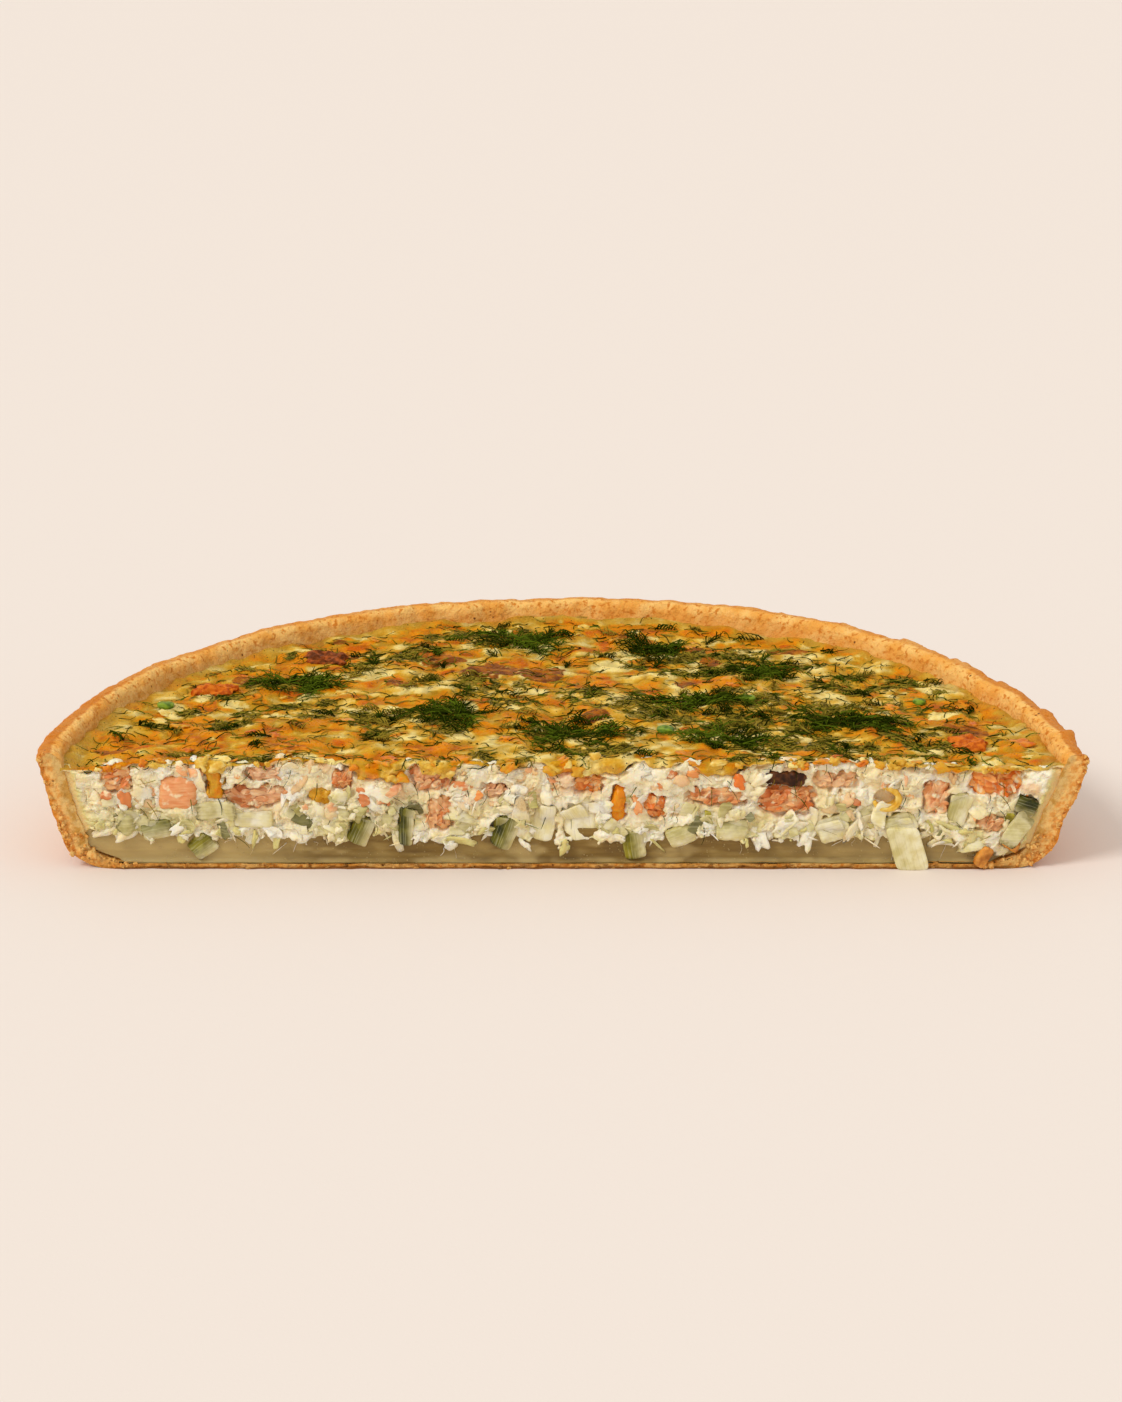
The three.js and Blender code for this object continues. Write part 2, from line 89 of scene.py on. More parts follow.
# Large odd numbers that stir whole numbers into fixed values, and a mask that keeps 32 bits
STIR_I, STIR_J, STIR_K, STIR_SEED = 374761393, 668265263, 1440662683, 974634777
STIR_AGAIN = 1274126177
MASK = 0xFFFFFFFF


def lattice(i, j, k, seed):
    """A fixed value from 0 to 1 for each whole-numbered point."""
    h = (i * STIR_I + j * STIR_J + k * STIR_K + seed * STIR_SEED) & MASK
    h = ((h ^ (h >> 13)) * STIR_AGAIN) & MASK
    return (h ^ (h >> 16)) / MASK


def ease(t):
    return t * t * (3 - 2 * t)


def smoothstep(x, low, high):
    return ease(np.clip((x - low) / (high - low), 0, 1))


def mixed(a, b, t):
    return a + (b - a) * t


def noise(u, v, seed, w=0.0):
    """Smooth noise from -1 to 1, with about one bump for each unit."""
    u, v, w = np.broadcast_arrays(np.asarray(u, float), v, w)
    i, j, k = (np.floor(c).astype(np.int64) for c in (u, v, w))
    s, t, r = ease(u - i), ease(v - j), ease(w - k)

    def flat(level):
        near = mixed(lattice(i, j, level, seed), lattice(i + 1, j, level, seed), s)
        far = mixed(lattice(i, j + 1, level, seed), lattice(i + 1, j + 1, level, seed), s)
        return mixed(near, far, t)

    if not np.any(w):
        return 2 * flat(k) - 1
    return 2 * mixed(flat(k), flat(k + 1), r) - 1


def layered(u, v, seed, octaves=3, gain=0.5, w=0.0):
    """Noise with finer and weaker noise added to it."""
    total, size, weight = 0.0, 1.0, 1.0
    for octave in range(octaves):
        total = total + weight * noise(u * size, v * size, seed + 17 * octave, w * size)
        size, weight = size * 2.1, weight * gain
    return total


def cells(u, v, seed):
    """For each point the distance to the nearest of some scattered seeds, how much further the
    second one is, and a fixed value from 0 to 1 for the nearest seed."""
    i, j = np.floor(u).astype(np.int64), np.floor(v).astype(np.int64)
    first = np.full(u.shape, 9.0)
    second = np.full(u.shape, 9.0)
    owner = np.zeros(u.shape)
    for di in (-1, 0, 1):
        for dj in (-1, 0, 1):
            a, b = i + di, j + dj
            x = a + 0.1 + 0.8 * lattice(a, b, 1, seed)
            y = b + 0.1 + 0.8 * lattice(a, b, 2, seed)
            d = np.hypot(u - x, v - y)
            nearer = d < first
            second = np.where(nearer, first, np.minimum(second, d))
            owner = np.where(nearer, lattice(a, b, 3, seed), owner)
            first = np.where(nearer, d, first)
    return first, second - first, owner


# Meshes

def grid_quads(rows, columns, start=0):
    """The quads of a grid of points that were listed row by row."""
    j = np.arange(rows - 1)[:, None]
    i = np.arange(columns - 1)[None, :]
    a = start + j * columns + i
    return np.stack([a, a + 1, a + columns + 1, a + columns], -1).reshape(-1, 4)


def linked(name, data):
    """A new object of the scene with this mesh, light or camera."""
    made = bpy.data.objects.new(name, data)
    bpy.context.collection.objects.link(made)
    return made


def mesh_object(name, points, faces, masks, in_metres=False):
    """A smooth mesh with point attributes. faces is an array of quads or triangles, or a list of them."""
    mesh = bpy.data.meshes.new(name)
    co = np.asarray(points, float) if in_metres else placed(points)
    faces = faces if isinstance(faces, list) else [faces]
    sizes = np.concatenate([np.full(len(f), f.shape[1]) for f in faces])
    corners = np.concatenate([f.ravel() for f in faces])
    starts = np.concatenate([[0], np.cumsum(sizes)[:-1]])
    mesh.vertices.add(len(co))
    mesh.vertices.foreach_set("co", co.astype(np.float32).ravel())
    mesh.loops.add(len(corners))
    mesh.loops.foreach_set("vertex_index", corners.astype(np.int32))
    mesh.polygons.add(len(sizes))
    mesh.polygons.foreach_set("loop_start", starts.astype(np.int32))
    mesh.polygons.foreach_set("loop_total", sizes.astype(np.int32))
    mesh.polygons.foreach_set("use_smooth", np.ones(len(sizes), bool))
    for key, values in masks.items():
        layer = mesh.attributes.new(key, "FLOAT", "POINT")
        layer.data.foreach_set("value", np.asarray(values, np.float32).ravel())
    mesh.update(calc_edges=True)
    return linked(name, mesh)


def dressed(name, part, material, slot, *nodes):
    """Makes a piece from its points, faces and masks, gives it its material and its body, and hides
    the nodes that it stands for. slot is not used."""
    made = mesh_object(name, *part)
    made.data.materials.append(material)
    if nodes:
        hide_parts(*nodes)
    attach(made, "root")


def joined(parts):
    """One set of arrays from many (points, faces, masks) parts."""
    points, faces, masks, start = [], [], {}, 0
    for part_points, part_faces, part_masks in parts:
        points.append(part_points)
        faces.append(part_faces + start)
        start += len(part_points)
        for key, values in part_masks.items():
            masks.setdefault(key, []).append(np.ravel(values))
    return np.concatenate(points), np.concatenate(faces), {k: np.concatenate(v) for k, v in masks.items()}


def front_sheet(grid, back, sink, masks):
    """A front surface given as rows of points, closed behind by walls back to y = back, where it is
    lower at its upper edge by sink, and by a fan."""
    rows, columns = grid.shape[:2]
    points = grid.reshape(-1, 3)
    index = np.arange(rows * columns).reshape(rows, columns)
    edge = np.concatenate([index[0, :-1], index[:-1, -1], index[-1, :0:-1], index[:0:-1, 0]])
    behind = points[edge].copy()
    behind[:, 1] = back
    behind[:, 2] -= sink * smoothstep(behind[:, 2], points[:, 2].mean(), points[:, 2].max())
    middle = len(points) + len(edge)
    ring = len(points) + np.arange(len(edge))
    after = np.roll(ring, -1)
    walls = np.stack([edge, ring, after, np.roll(edge, -1)], -1)
    fan = np.stack([ring, np.full(len(edge), middle), after], -1)
    everything = np.concatenate([points, behind, behind.mean(0)[None]])
    full = {k: np.concatenate([v.ravel(), v.ravel()[edge], [0.0]]) for k, v in masks.items()}
    return everything, [grid_quads(rows, columns), walls, fan], full


def unit_ball(level):
    """Points and triangles of a ball of radius 1."""
    ball = bmesh.new()
    bmesh.ops.create_icosphere(ball, subdivisions=level, radius=1.0)
    ball.verts.index_update()
    points = np.array([v.co[:] for v in ball.verts])
    triangles = np.array([[v.index for v in f.verts] for f in ball.faces])
    ball.free()
    return points, triangles


BALLS = {level: unit_ball(level) for level in range(2, 6)}


def squared(points, power):
    """A ball's points moved out towards a rounded box. power 2 leaves the ball as it is."""
    return points / (np.abs(points) ** power).sum(-1, keepdims=True) ** (1 / power)


def turns(about_y, about_x=0.0, about_z=0.0):
    """Turning matrices: first about y, which turns a piece in the plane of the cut, then x and z."""
    a, b, c = np.broadcast_arrays(about_y, about_x, about_z)
    no, one = np.zeros(a.shape), np.ones(a.shape)
    square = lambda *m: np.stack(m, -1).reshape(a.shape + (3, 3))
    y = square(np.cos(a), no, -np.sin(a), no, one, no, np.sin(a), no, np.cos(a))
    x = square(one, no, no, no, np.cos(b), -np.sin(b), no, np.sin(b), np.cos(b))
    z = square(np.cos(c), -np.sin(c), no, np.sin(c), np.cos(c), no, no, no, one)
    return z @ x @ y


def lumps(rng, places, sizes, facing, level=2, rough=0.3, bend=0.0, power=2.0):
    """Many small rough lumps or flakes. sizes holds three half sizes each and bend how much a flake
    curls. Gives points, triangles and the number of the lump that each point belongs to."""
    ball, triangles = BALLS[level]
    count = len(places)
    own = rng.uniform(0, 90, (count, 1))
    u, v, w = (ball[None, :, i] * 1.7 + own * (1 + 0.37 * i) for i in range(3))
    local = squared(ball, power)[None] * (1 + rough * noise(u, v, 801, w))[..., None] * sizes[:, None, :]
    local[..., 1] += np.reshape(bend, (-1, 1)) * local[..., 0] ** 2
    world = np.einsum("nij,nkj->nki", facing, local) + places[:, None]
    faces = triangles[None] + (np.arange(count) * len(ball))[:, None, None]
    return world.reshape(-1, 3), faces.reshape(-1, 3), np.repeat(np.arange(count), len(ball))


def threads(centres, radii):
    """Thin three-sided tubes along rows of points. Gives points and a list of faces."""
    count, rings = centres.shape[:2]
    tangent = np.gradient(centres, axis=1)
    tangent /= np.maximum(np.linalg.norm(tangent, axis=-1, keepdims=True), 1e-9)
    side = np.cross(tangent, (0.12, 0.31, 0.94))
    side /= np.maximum(np.linalg.norm(side, axis=-1, keepdims=True), 1e-9)
    over = np.cross(side, tangent)
    corners = []
    for corner in range(3):
        a = math.radians(90 + 120 * corner)
        corners.append(centres + (side * math.cos(a) + over * math.sin(a)) * radii[..., None])
    points = np.stack(corners, 2)
    start = (np.arange(count) * rings * 3)[:, None, None]
    ring = start + (np.arange(rings - 1) * 3)[None, :, None]
    a, b = ring + np.arange(3), ring + (np.arange(3) + 1) % 3
    quads = np.stack([a, b, b + 3, a + 3], -1).reshape(-1, 4)
    first = start[:, 0, 0]
    last = first + (rings - 1) * 3
    ends = [np.stack([first, first + 2, first + 1], -1), np.stack([last, last + 1, last + 2], -1)]
    return points.reshape(-1, 3), [quads, np.concatenate(ends)]


# Materials

def shade(colour):
    """Colour values from 0 to 255 as a linear colour. The output of a node stays as it is."""
    if isinstance(colour, bpy.types.NodeSocket):
        return colour
    parts = [c / 255 for c in colour]
    return tuple(c / 12.92 if c <= 0.04045 else ((c + 0.055) / 1.055) ** 2.4 for c in parts) + (1.0,)


class Recipe:
    """A node material that is put together step by step. Sizes are in millimetres."""

    def __init__(self, name, roughness=0.5, subsurface=0.0, radius=(1.0, 0.6, 0.3), shine=0.4):
        self.material = bpy.data.materials.new(name)
        self.material.use_nodes = True
        self.tree = self.material.node_tree
        self.shader = self.tree.nodes["Principled BSDF"]
        self.place = self.node("TexCoord").outputs["Object"]
        self.set(self.shader, "Roughness", roughness)
        self.set(self.shader, "Specular IOR Level", shine)
        self.set(self.shader, "Subsurface Weight", subsurface)
        self.set(self.shader, "Subsurface Radius", radius)
        self.set(self.shader, "Subsurface Scale", 0.001)

    def set(self, node, name, value):
        """Links an input of a node, or sets it to a value."""
        socket = node.inputs[name]
        if isinstance(value, bpy.types.NodeSocket):
            self.tree.links.new(value, socket)
        else:
            socket.default_value = value

    def node(self, kind, **inputs):
        """A new node with its inputs linked or set."""
        made = self.tree.nodes.new("ShaderNode" + kind)
        for name, value in inputs.items():
            self.set(made, name.replace("_", " "), value)
        return made

    def mask(self, name):
        node = self.node("Attribute")
        node.attribute_name = name
        return node.outputs["Fac"]

    def noise(self, size, detail=2.0, stretch=None):
        place = self.place
        if stretch:
            place = self.node("Mapping", Vector=place, Scale=stretch).outputs["Vector"]
        return self.node("TexNoise", Vector=place, Scale=1000 / size, Detail=detail).outputs["Fac"]

    def fibres(self, width, length, detail):
        """Streaks along a piece, from its own coordinates over and along, in millimetres."""
        along = self.times(self.mask("along"), width / length)
        place = self.node("CombineXYZ", X=self.mask("over"), Y=along, Z=self.mask("tint")).outputs["Vector"]
        return self.node("TexNoise", Vector=place, Scale=1 / width, Detail=detail).outputs["Fac"]

    def spots(self, size, low, high):
        """1 in small spots and 0 elsewhere."""
        distance = self.node("TexVoronoi", Vector=self.place, Scale=1000 / size).outputs["Distance"]
        return self.steps(distance, high, low)

    def steps(self, value, low, high):
        """0 below low and 1 above high, or the other way round when low is above high."""
        node = self.node(
            "MapRange", Value=value, From_Min=min(low, high), From_Max=max(low, high),
            To_Min=float(low > high), To_Max=float(low <= high))
        node.interpolation_type = "SMOOTHSTEP"
        return node.outputs["Result"]

    def math(self, operation, a, b):
        node = self.node("Math")
        node.operation = operation
        self.set(node, 0, a)
        self.set(node, 1, b)
        return node.outputs[0]

    def times(self, a, b):
        return self.math("MULTIPLY", a, b)

    def plus(self, a, b):
        return self.math("ADD", a, b)

    def shifted(self, name, noise, reach):
        """A mask moved up and down by noise."""
        return self.plus(self.mask(name), self.times(self.math("SUBTRACT", noise, 0.5), reach))

    def ragged(self, name, size, reach=0.5):
        """A mask whose edges are broken up by noise of the given size."""
        shifted = self.shifted(name, self.noise(size, 3), 2 * reach)
        return self.times(self.steps(shifted, 0.3, 0.7), self.steps(self.mask(name), 0.02, 0.15))

    def mix(self, amount, a, b):
        """The colour a with b over it. amount is a node's output or the name of a mask."""
        node = self.node("Mix")
        node.data_type = "RGBA"
        amount = self.mask(amount) if isinstance(amount, str) else amount
        for i, value in ((0, amount), (6, shade(a)), (7, shade(b))):
            self.set(node, i, value)
        return node.outputs[2]

    def tones(self, value, low, high, a, b):
        """The colour a where a value is below low, and b where it is above high."""
        return self.mix(self.steps(value, low, high), a, b)

    def painted(self, colour, *layers):
        """A colour with others over it, each given as its amount and the colour."""
        for amount, over in layers:
            colour = self.mix(amount, colour, over)
        return colour

    def finish(self, colour, bump, depth):
        """Connects the colour and a bump of the given depth in millimetres."""
        self.set(self.shader, "Base Color", shade(colour))
        node = self.node("Bump", Height=bump, Strength=1.0, Distance=depth / 1000)
        self.set(self.shader, "Normal", node.outputs["Normal"])
        return self.material


def pastry_material():
    """Golden baked pastry: paler inside, moist next to the filling, browner at the foot."""
    r = Recipe("baked_pastry", 0.6, subsurface=0.12, radius=(1.2, 0.7, 0.3), shine=0.12)
    fine = r.noise(1.3, 3)
    golden = r.tones(r.noise(7, 3), 0.38, 0.62, (243, 170, 74), (252, 198, 112))
    crumb = r.tones(fine, 0.4, 0.62, (242, 194, 116), (228, 156, 74))
    moist = r.tones(r.noise(2.2, 3), 0.4, 0.62, (222, 182, 112), (198, 146, 66))
    specks = r.times(r.spots(3.2, 0.07, 0.13), r.steps(r.noise(9, 1), 0.50, 0.58))
    colour = r.painted(
        golden, (r.steps(fine, 0.52, 0.68), (216, 130, 38)), ("toast", (206, 114, 14)), ("crumb", crumb),
        ("moist", moist), ("under", (132, 82, 30)), (specks, (112, 62, 20)))
    return r.finish(colour, r.plus(r.noise(0.6, 3), r.times(r.noise(2.0, 2), 1.8)), 0.4)


def set_base_material():
    """Clear olive-grey jelly-like custard with fine level streaks."""
    r = Recipe("clear_set_base", 0.35, subsurface=0.4, radius=(3.0, 2.4, 1.0), shine=0.3)
    streaks = r.noise(1.8, 3, stretch=(0.16, 0.16, 1.8))
    cloud = r.noise(7, 3, stretch=(0.6, 1, 2))
    froth = r.times(r.spots(0.9, 0.12, 0.24), r.steps(r.noise(4, 2), 0.42, 0.6))
    colour = r.painted(
        r.tones(streaks, 0.32, 0.70, (124, 95, 40), (142, 112, 52)),
        (r.steps(cloud, 0.45, 0.75), (168, 140, 78)), ("pale", (206, 180, 118)),
        (r.times(froth, 0.5), (216, 192, 132)))
    return r.finish(colour, r.plus(streaks, froth), 0.10)


def curd_material():
    """Moist cream curds, with painted shade, darker and yellower, in the hollows between them."""
    r = Recipe("cream_curd", 0.4, subsurface=0.3, radius=(2.0, 1.3, 0.6), shine=0.3)
    hollow_shade = r.mask("hollow_shade")
    # Painted shade: the hollows between the curds are coloured warm yellow, and dark brown where deepest.
    colour = r.painted(
        r.tones(r.noise(5, 3), 0.35, 0.65, (250, 228, 176), (255, 244, 216)),
        ("green", (224, 208, 134)), ("blush", (242, 188, 128)),
        (r.steps(hollow_shade, 0.05, 0.6), (214, 168, 96)), (r.steps(hollow_shade, 0.5, 1.0), (92, 64, 10)))
    return r.finish(colour, r.plus(r.noise(0.45, 3), r.times(r.noise(1.4, 2), 1.4)), 0.2)


def cheese_colours(r, cloud):
    """Melted cheese from deep orange over yellow to cream, by the mask called tone."""
    tone = r.shifted("tone", cloud, 0.9)
    return r.painted(
        r.tones(tone, 0.0, 0.3, (206, 98, 0), (230, 140, 6)), (r.steps(tone, 0.3, 0.5), (214, 156, 30)),
        (r.steps(tone, 0.5, 0.75), (232, 186, 72)), (r.steps(tone, 0.68, 0.98), (252, 226, 140)))


def cheese_skin_material():
    """The top: melted cheese with herb, caramel coloured and pale curd places."""
    r = Recipe("browned_cheese_skin", 0.45, subsurface=0.12, radius=(1.6, 0.9, 0.2), shine=0.06)
    fine = r.noise(0.7, 3)
    middle = r.noise(3.0, 3)
    herb = r.tones(fine, 0.38, 0.62, (80, 68, 6), (158, 132, 42))
    brown = r.tones(middle, 0.35, 0.65, (112, 56, 6), (176, 98, 14))
    specks = r.times(r.spots(1.3, 0.10, 0.18), r.steps(r.noise(4, 1), 0.46, 0.54))
    # The crease colour is painted shade in the creases between the melted heaps.
    colour = r.painted(
        cheese_colours(r, middle), ("crease_shade", (112, 84, 10)), (r.ragged("herb", 1.0, 0.8), herb),
        (r.ragged("brown", 1.6), brown), ("rimside", (190, 146, 54)), ("curd", (244, 222, 166)),
        (specks, (40, 34, 4)))
    return r.finish(colour, r.plus(fine, r.times(middle, 2.0)), 0.5)


def cheese_lump_material():
    """Lumps and curls of melted cheese."""
    r = Recipe("melted_cheese_lumps", 0.35, subsurface=0.2, radius=(1.8, 1.0, 0.3), shine=0.3)
    cloud = r.noise(1.8, 3)
    return r.finish(cheese_colours(r, cloud), cloud, 0.25)


def salmon_material(name):
    """Cooked salmon: pink to orange flakes with paler fat."""
    r = Recipe(name, 0.36, subsurface=0.25, radius=(2.2, 0.9, 0.4), shine=0.3)
    streak = r.fibres(0.5, 3.0, 3)
    tint = r.shifted("tint", streak, 0.9)
    pink = r.tones(tint, 0.1, 0.9, (226, 142, 82), (250, 198, 148))
    orange = r.tones(tint, 0.1, 0.9, (234, 116, 28), (250, 170, 90))
    mauve = r.tones(tint, 0.1, 0.9, (200, 124, 78), (240, 186, 142))
    fat = r.steps(r.noise(2.2, 3), 0.54, 0.70)
    colour = r.painted(pink, ("vivid", orange), ("dull", mauve), (fat, (250, 222, 178)))
    return r.finish(colour, streak, 0.12)


def leek_material():
    """Soft leek, pale to deep green, with fine fibres along it."""
    r = Recipe("soft_leek", 0.3, subsurface=0.25, radius=(2.0, 2.0, 0.5), shine=0.25)
    fibre = r.fibres(0.45, 9.0, 2)
    cloud = r.noise(3, 3)
    pale = r.tones(cloud, 0.35, 0.65, (240, 224, 162), (255, 246, 210))
    green = r.tones(cloud, 0.35, 0.65, (126, 116, 6), (178, 164, 50))
    dark = r.tones(cloud, 0.35, 0.65, (40, 44, 0), (92, 90, 8))
    light_lines = r.times(r.steps(fibre, 0.5, 0.66), 0.2)
    dark_lines = r.times(r.steps(fibre, 0.46, 0.32), 0.14)
    colour = r.painted(
        pale, ("green", green), ("dark", dark), (light_lines, (244, 236, 186)),
        (dark_lines, (120, 108, 20)))
    return r.finish(colour, fibre, 0.12)


def plain_food_material(name, dark, light, size, roughness=0.35, subsurface=0.2, shine=0.35, depth=0.15):
    """A two-toned moist food."""
    r = Recipe(name, roughness, subsurface=subsurface, radius=(1.6, 0.9, 0.4), shine=shine)
    cloud = r.noise(size, 3)
    return r.finish(r.tones(cloud, 0.35, 0.65, dark, light), cloud, depth)


def herb_material():
    """Dill and other herbs, from fresh to baked brown by the mask called age."""
    r = Recipe("baked_dill", 0.7, shine=0.0)
    age = r.mask("age")
    colour = r.painted(
        r.tones(age, 0.0, 0.35, (92, 108, 22), (36, 46, 4)),
        (r.steps(age, 0.4, 0.75), (156, 134, 44)), (r.steps(age, 0.85, 1.0), (58, 40, 2)))
    return r.finish(colour, r.noise(0.5, 2), 0.05)


# The crust

def straight(a, b, count):
    return np.linspace(a, b, count + 1)[1:]


def curved(a, control, b, count):
    t = np.linspace(0, 1, count + 1)[1:, None]
    a, control, b = np.array(a), np.array(control), np.array(b)
    return (1 - t) ** 2 * a + 2 * t * (1 - t) * control + t ** 2 * b


def crust_sides(density):
    """Matching radius and height points along the crust's outside and inside, from the middle of the
    floor to the top of the rim. density is how many points there are for each millimetre."""
    steps = lambda length: max(2, round(length * density))
    top = (RIM_RADIUS - 3.0, RIM_HEIGHT)

    def side(middle, floor_edge, corner, foot, wall_top, lip):
        return np.concatenate([
            [middle],
            straight(middle, floor_edge, steps(FOOT_RADIUS * 0.8)),
            curved(floor_edge, corner, foot, steps(12)),
            straight(foot, wall_top, steps(22)),
            curved(wall_top, lip, top, steps(4)),
        ])

    outside = side(
        (0.0, 0.0), (FOOT_RADIUS, 0.0), (FOOT_WALL_RADIUS - 1.6, 0.0), (FOOT_WALL_RADIUS, WALL_FOOT_HEIGHT),
        (RIM_RADIUS, RIM_HEIGHT - 1.4), (RIM_RADIUS + 0.2, RIM_HEIGHT))
    inside = side(
        (0.0, BASE_THICKNESS), (FOOT_RADIUS - 4, BASE_THICKNESS), (INNER_FOOT - 1, BASE_THICKNESS),
        (INNER_FOOT, WALL_FOOT_HEIGHT + 1), (INNER_RADIUS, RIM_HEIGHT - 2), (INNER_RADIUS + 0.4, RIM_HEIGHT))
    return outside, inside


def polar(points):
    """Across, behind and up, with the angle round the middle and the distance from it."""
    x, y, z = np.moveaxis(np.asarray(points, float), -1, 0)
    return x, y, z, np.arctan2(y, x), np.maximum(np.hypot(x, y), 1e-6)


def baked_uneven(points):
    """The shell's wavy rim and its right side's lean, as in the part's source."""
    x, y, z, angle, radius = polar(points)
    high = smoothstep(z, 12, RIM_HEIGHT)
    outer = smoothstep(radius, FOOT_RADIUS - 12, FOOT_RADIUS + 4)
    around = angle * 9
    right = 0.5 + 0.5 * np.cos(angle)
    lean = -RIGHT_SIDE_LEAN * right * (1 - z / RIM_HEIGHT)
    bulge = 0.5 * noise(around, z / 9, 3) + 0.5 * high * noise(around * 2.3, 1.5, 4)
    grown = radius + outer * (lean + bulge)
    rise = high * (0.5 * noise(around * 0.8, 5.5, 5) + 0.35 * noise(around * 2.6, 6.5, 6) - 0.9 * right)
    return np.stack([x / radius * grown, y / radius * grown, z + rise], -1)


def rim_detail(points):
    """The fine unevenness of the pastry's skin: scallops on the right, ripples, blisters and grain."""
    x, y, z, angle, radius = polar(points)
    rightness = np.cos(angle)
    along = angle * RIM_RADIUS
    high = smoothstep(z, 20, 27)
    wall = smoothstep(radius, FOOT_RADIUS - 6, FOOT_RADIUS + 2)
    outside = smoothstep(radius, INNER_RADIUS + 1.5, RIM_RADIUS - 1)
    turn = along / 19 + 0.35 * noise(along / 30, 2.5, 61)
    scallop = ((turn - np.floor(turn)) ** 1.5 - 0.4) * smoothstep(rightness, 0.3, 0.8) * outside
    grain = 0.2 * layered(x / 1.5, y / 1.5, 62, 3, w=z / 1.5)
    blister = 0.45 * np.maximum(0, layered(x / 4, y / 4, 63, 2, w=z / 4) - 0.1)
    ripple = 0.5 * noise(along / 3.4, z / 9, 64) * (1 - outside) * high
    left_end = smoothstep(-rightness, 0.975, 1.0) * (1.1 + 0.7 * smoothstep(z, 20, 12)) * smoothstep(z, 1, 5)
    right_foot = 2.0 * smoothstep(z, 28, 19) + 0.8 * smoothstep(z, 14, 6)
    right_end = smoothstep(rightness, 0.8, 1.0) * (0.5 + right_foot)
    out = wall * (grain + blister + 0.9 * scallop * high + left_end + right_end) - ripple
    back_right = smoothstep(rightness, 0.1, 0.35) * smoothstep(rightness, 0.95, 0.75)
    up = high * (0.2 * layered(x / 2.2, y / 2.2, 65, 3) + 0.4 * scallop + 0.8 * back_right)
    return np.stack([x * (1 + out / radius), y * (1 + out / radius), z + up], -1)


def crust_point(radius, angle, height):
    plain = np.stack([radius * np.cos(angle), radius * np.sin(angle), height + 0 * angle], -1)
    return rim_detail(baked_uneven(plain))


def wall_radius(height):
    """The inside radius of the plain shell at a height."""
    knee = WALL_FOOT_HEIGHT + 1
    slope = (INNER_RADIUS - INNER_FOOT) / (RIM_HEIGHT - 2 - knee)
    t = np.clip((knee - height) / (knee - BASE_THICKNESS), 0, 1)
    return np.where(height > knee, INNER_FOOT + (height - knee) * slope, INNER_FOOT - 7.8 * t ** 2.2)


def turned_shell():
    """The shell, turned through the half circle. Most of its hidden floor is left coarse."""
    keep = lambda side: side[(side[:, 0] > 100) | (np.arange(len(side)) % 12 == 0)]
    outside, inside = (keep(side) for side in crust_sides(1.5))
    outline = np.concatenate([outside, inside[::-1][1:]])
    radius, angle = np.meshgrid(outline[:, 0], np.linspace(0, math.pi, 560))
    height = np.broadcast_to(outline[:, 1], radius.shape)
    points = crust_point(radius, angle, height)
    on_floor = (height < 0.01) & (radius < FOOT_RADIUS + 1)
    points[..., 2] = np.where(on_floor, 0.0, np.maximum(points[..., 2], 0.0))
    outer = np.broadcast_to(np.arange(len(outline)) < len(outside), radius.shape)
    rightness = np.cos(angle)
    lip = smoothstep(height, 26.5, 28.6) * 0.5
    outer_toast = lip + smoothstep(height, 9, 3) * 0.3 + 0.4 * smoothstep(np.abs(rightness), 0.8, 1.0)
    inner_moist = smoothstep(height, 28.6, 26.5) * mixed(0.1, 0.55, smoothstep(-rightness, -0.1, 0.7))
    masks = {
        "toast": np.where(outer, np.minimum(outer_toast, 0.8), 0.3 * smoothstep(height, 28.8, 26)),
        "crumb": np.zeros(radius.shape),
        "moist": np.where(outer, 0.0, inner_moist),
        "under": (height < 0.5) * smoothstep(radius, 118, 108) * 0.55,
    }
    return points.reshape(-1, 3), grid_quads(*radius.shape), masks


def cut_end(angle):
    """The crumbly cut face of the wall and half of the floor, at one end of the half circle."""
    outside, inside = crust_sides(2.6)
    share = np.linspace(0, 1, 17)[None, :]
    flat = outside[:, None] * (1 - share[..., None]) + inside[:, None] * share[..., None]
    face = crust_point(flat[..., 0], np.full(flat.shape[:2], angle), flat[..., 1])
    share = np.broadcast_to(share, flat.shape[:2])
    x, z = face[..., 0], face[..., 2]
    on_wall = smoothstep(z, 1, 9)
    from_edge = np.minimum(share, 1 - share) * mixed(BASE_THICKNESS, WALL_THICKNESS, on_wall)
    crumbs = 0.55 * layered(x / 1.4, z / 1.4, 71, 3) + 0.4 * noise(x / 0.55, z / 0.55, 72)
    pits = 1.1 * np.maximum(0, noise(x / 1.1, z / 1.1, 73) - 0.4)
    rough = mixed(0.35, 0.9, np.maximum(smoothstep(share, 0.35, 0.1), 1 - on_wall))
    face[..., 1] = smoothstep(from_edge, 0.0, 0.45) * (0.05 - rough * (0.5 * crumbs - pits))
    ragged = share + 0.12 * noise(x / 1.1, z / 1.1, 74)
    floor = smoothstep(z, 3.0, 1.4) * smoothstep(np.abs(x), 116, 106)
    face[..., 1] -= (1.2 + 0.3 * noise(x / 3, 1.5, 76)) * floor
    lining = 0.55 if math.cos(angle) > 0 else 0.45
    masks = {
        "toast": 0.6 * smoothstep(ragged, 0.28, 0.12) * smoothstep(z, 0.3, 2),
        "crumb": smoothstep(ragged, 0.16, 0.3) * (1 - floor),
        "moist": smoothstep(ragged, lining, lining + 0.3) * (1 - floor),
        "under": floor * (0.35 + 0.65 * smoothstep(z + 0.3 * noise(x / 4, 2.5, 75), 0.9, 0.3)),
    }
    quads = grid_quads(*flat.shape[:2])
    return face.reshape(-1, 3), quads if math.cos(angle) < 0 else quads[:, ::-1], masks


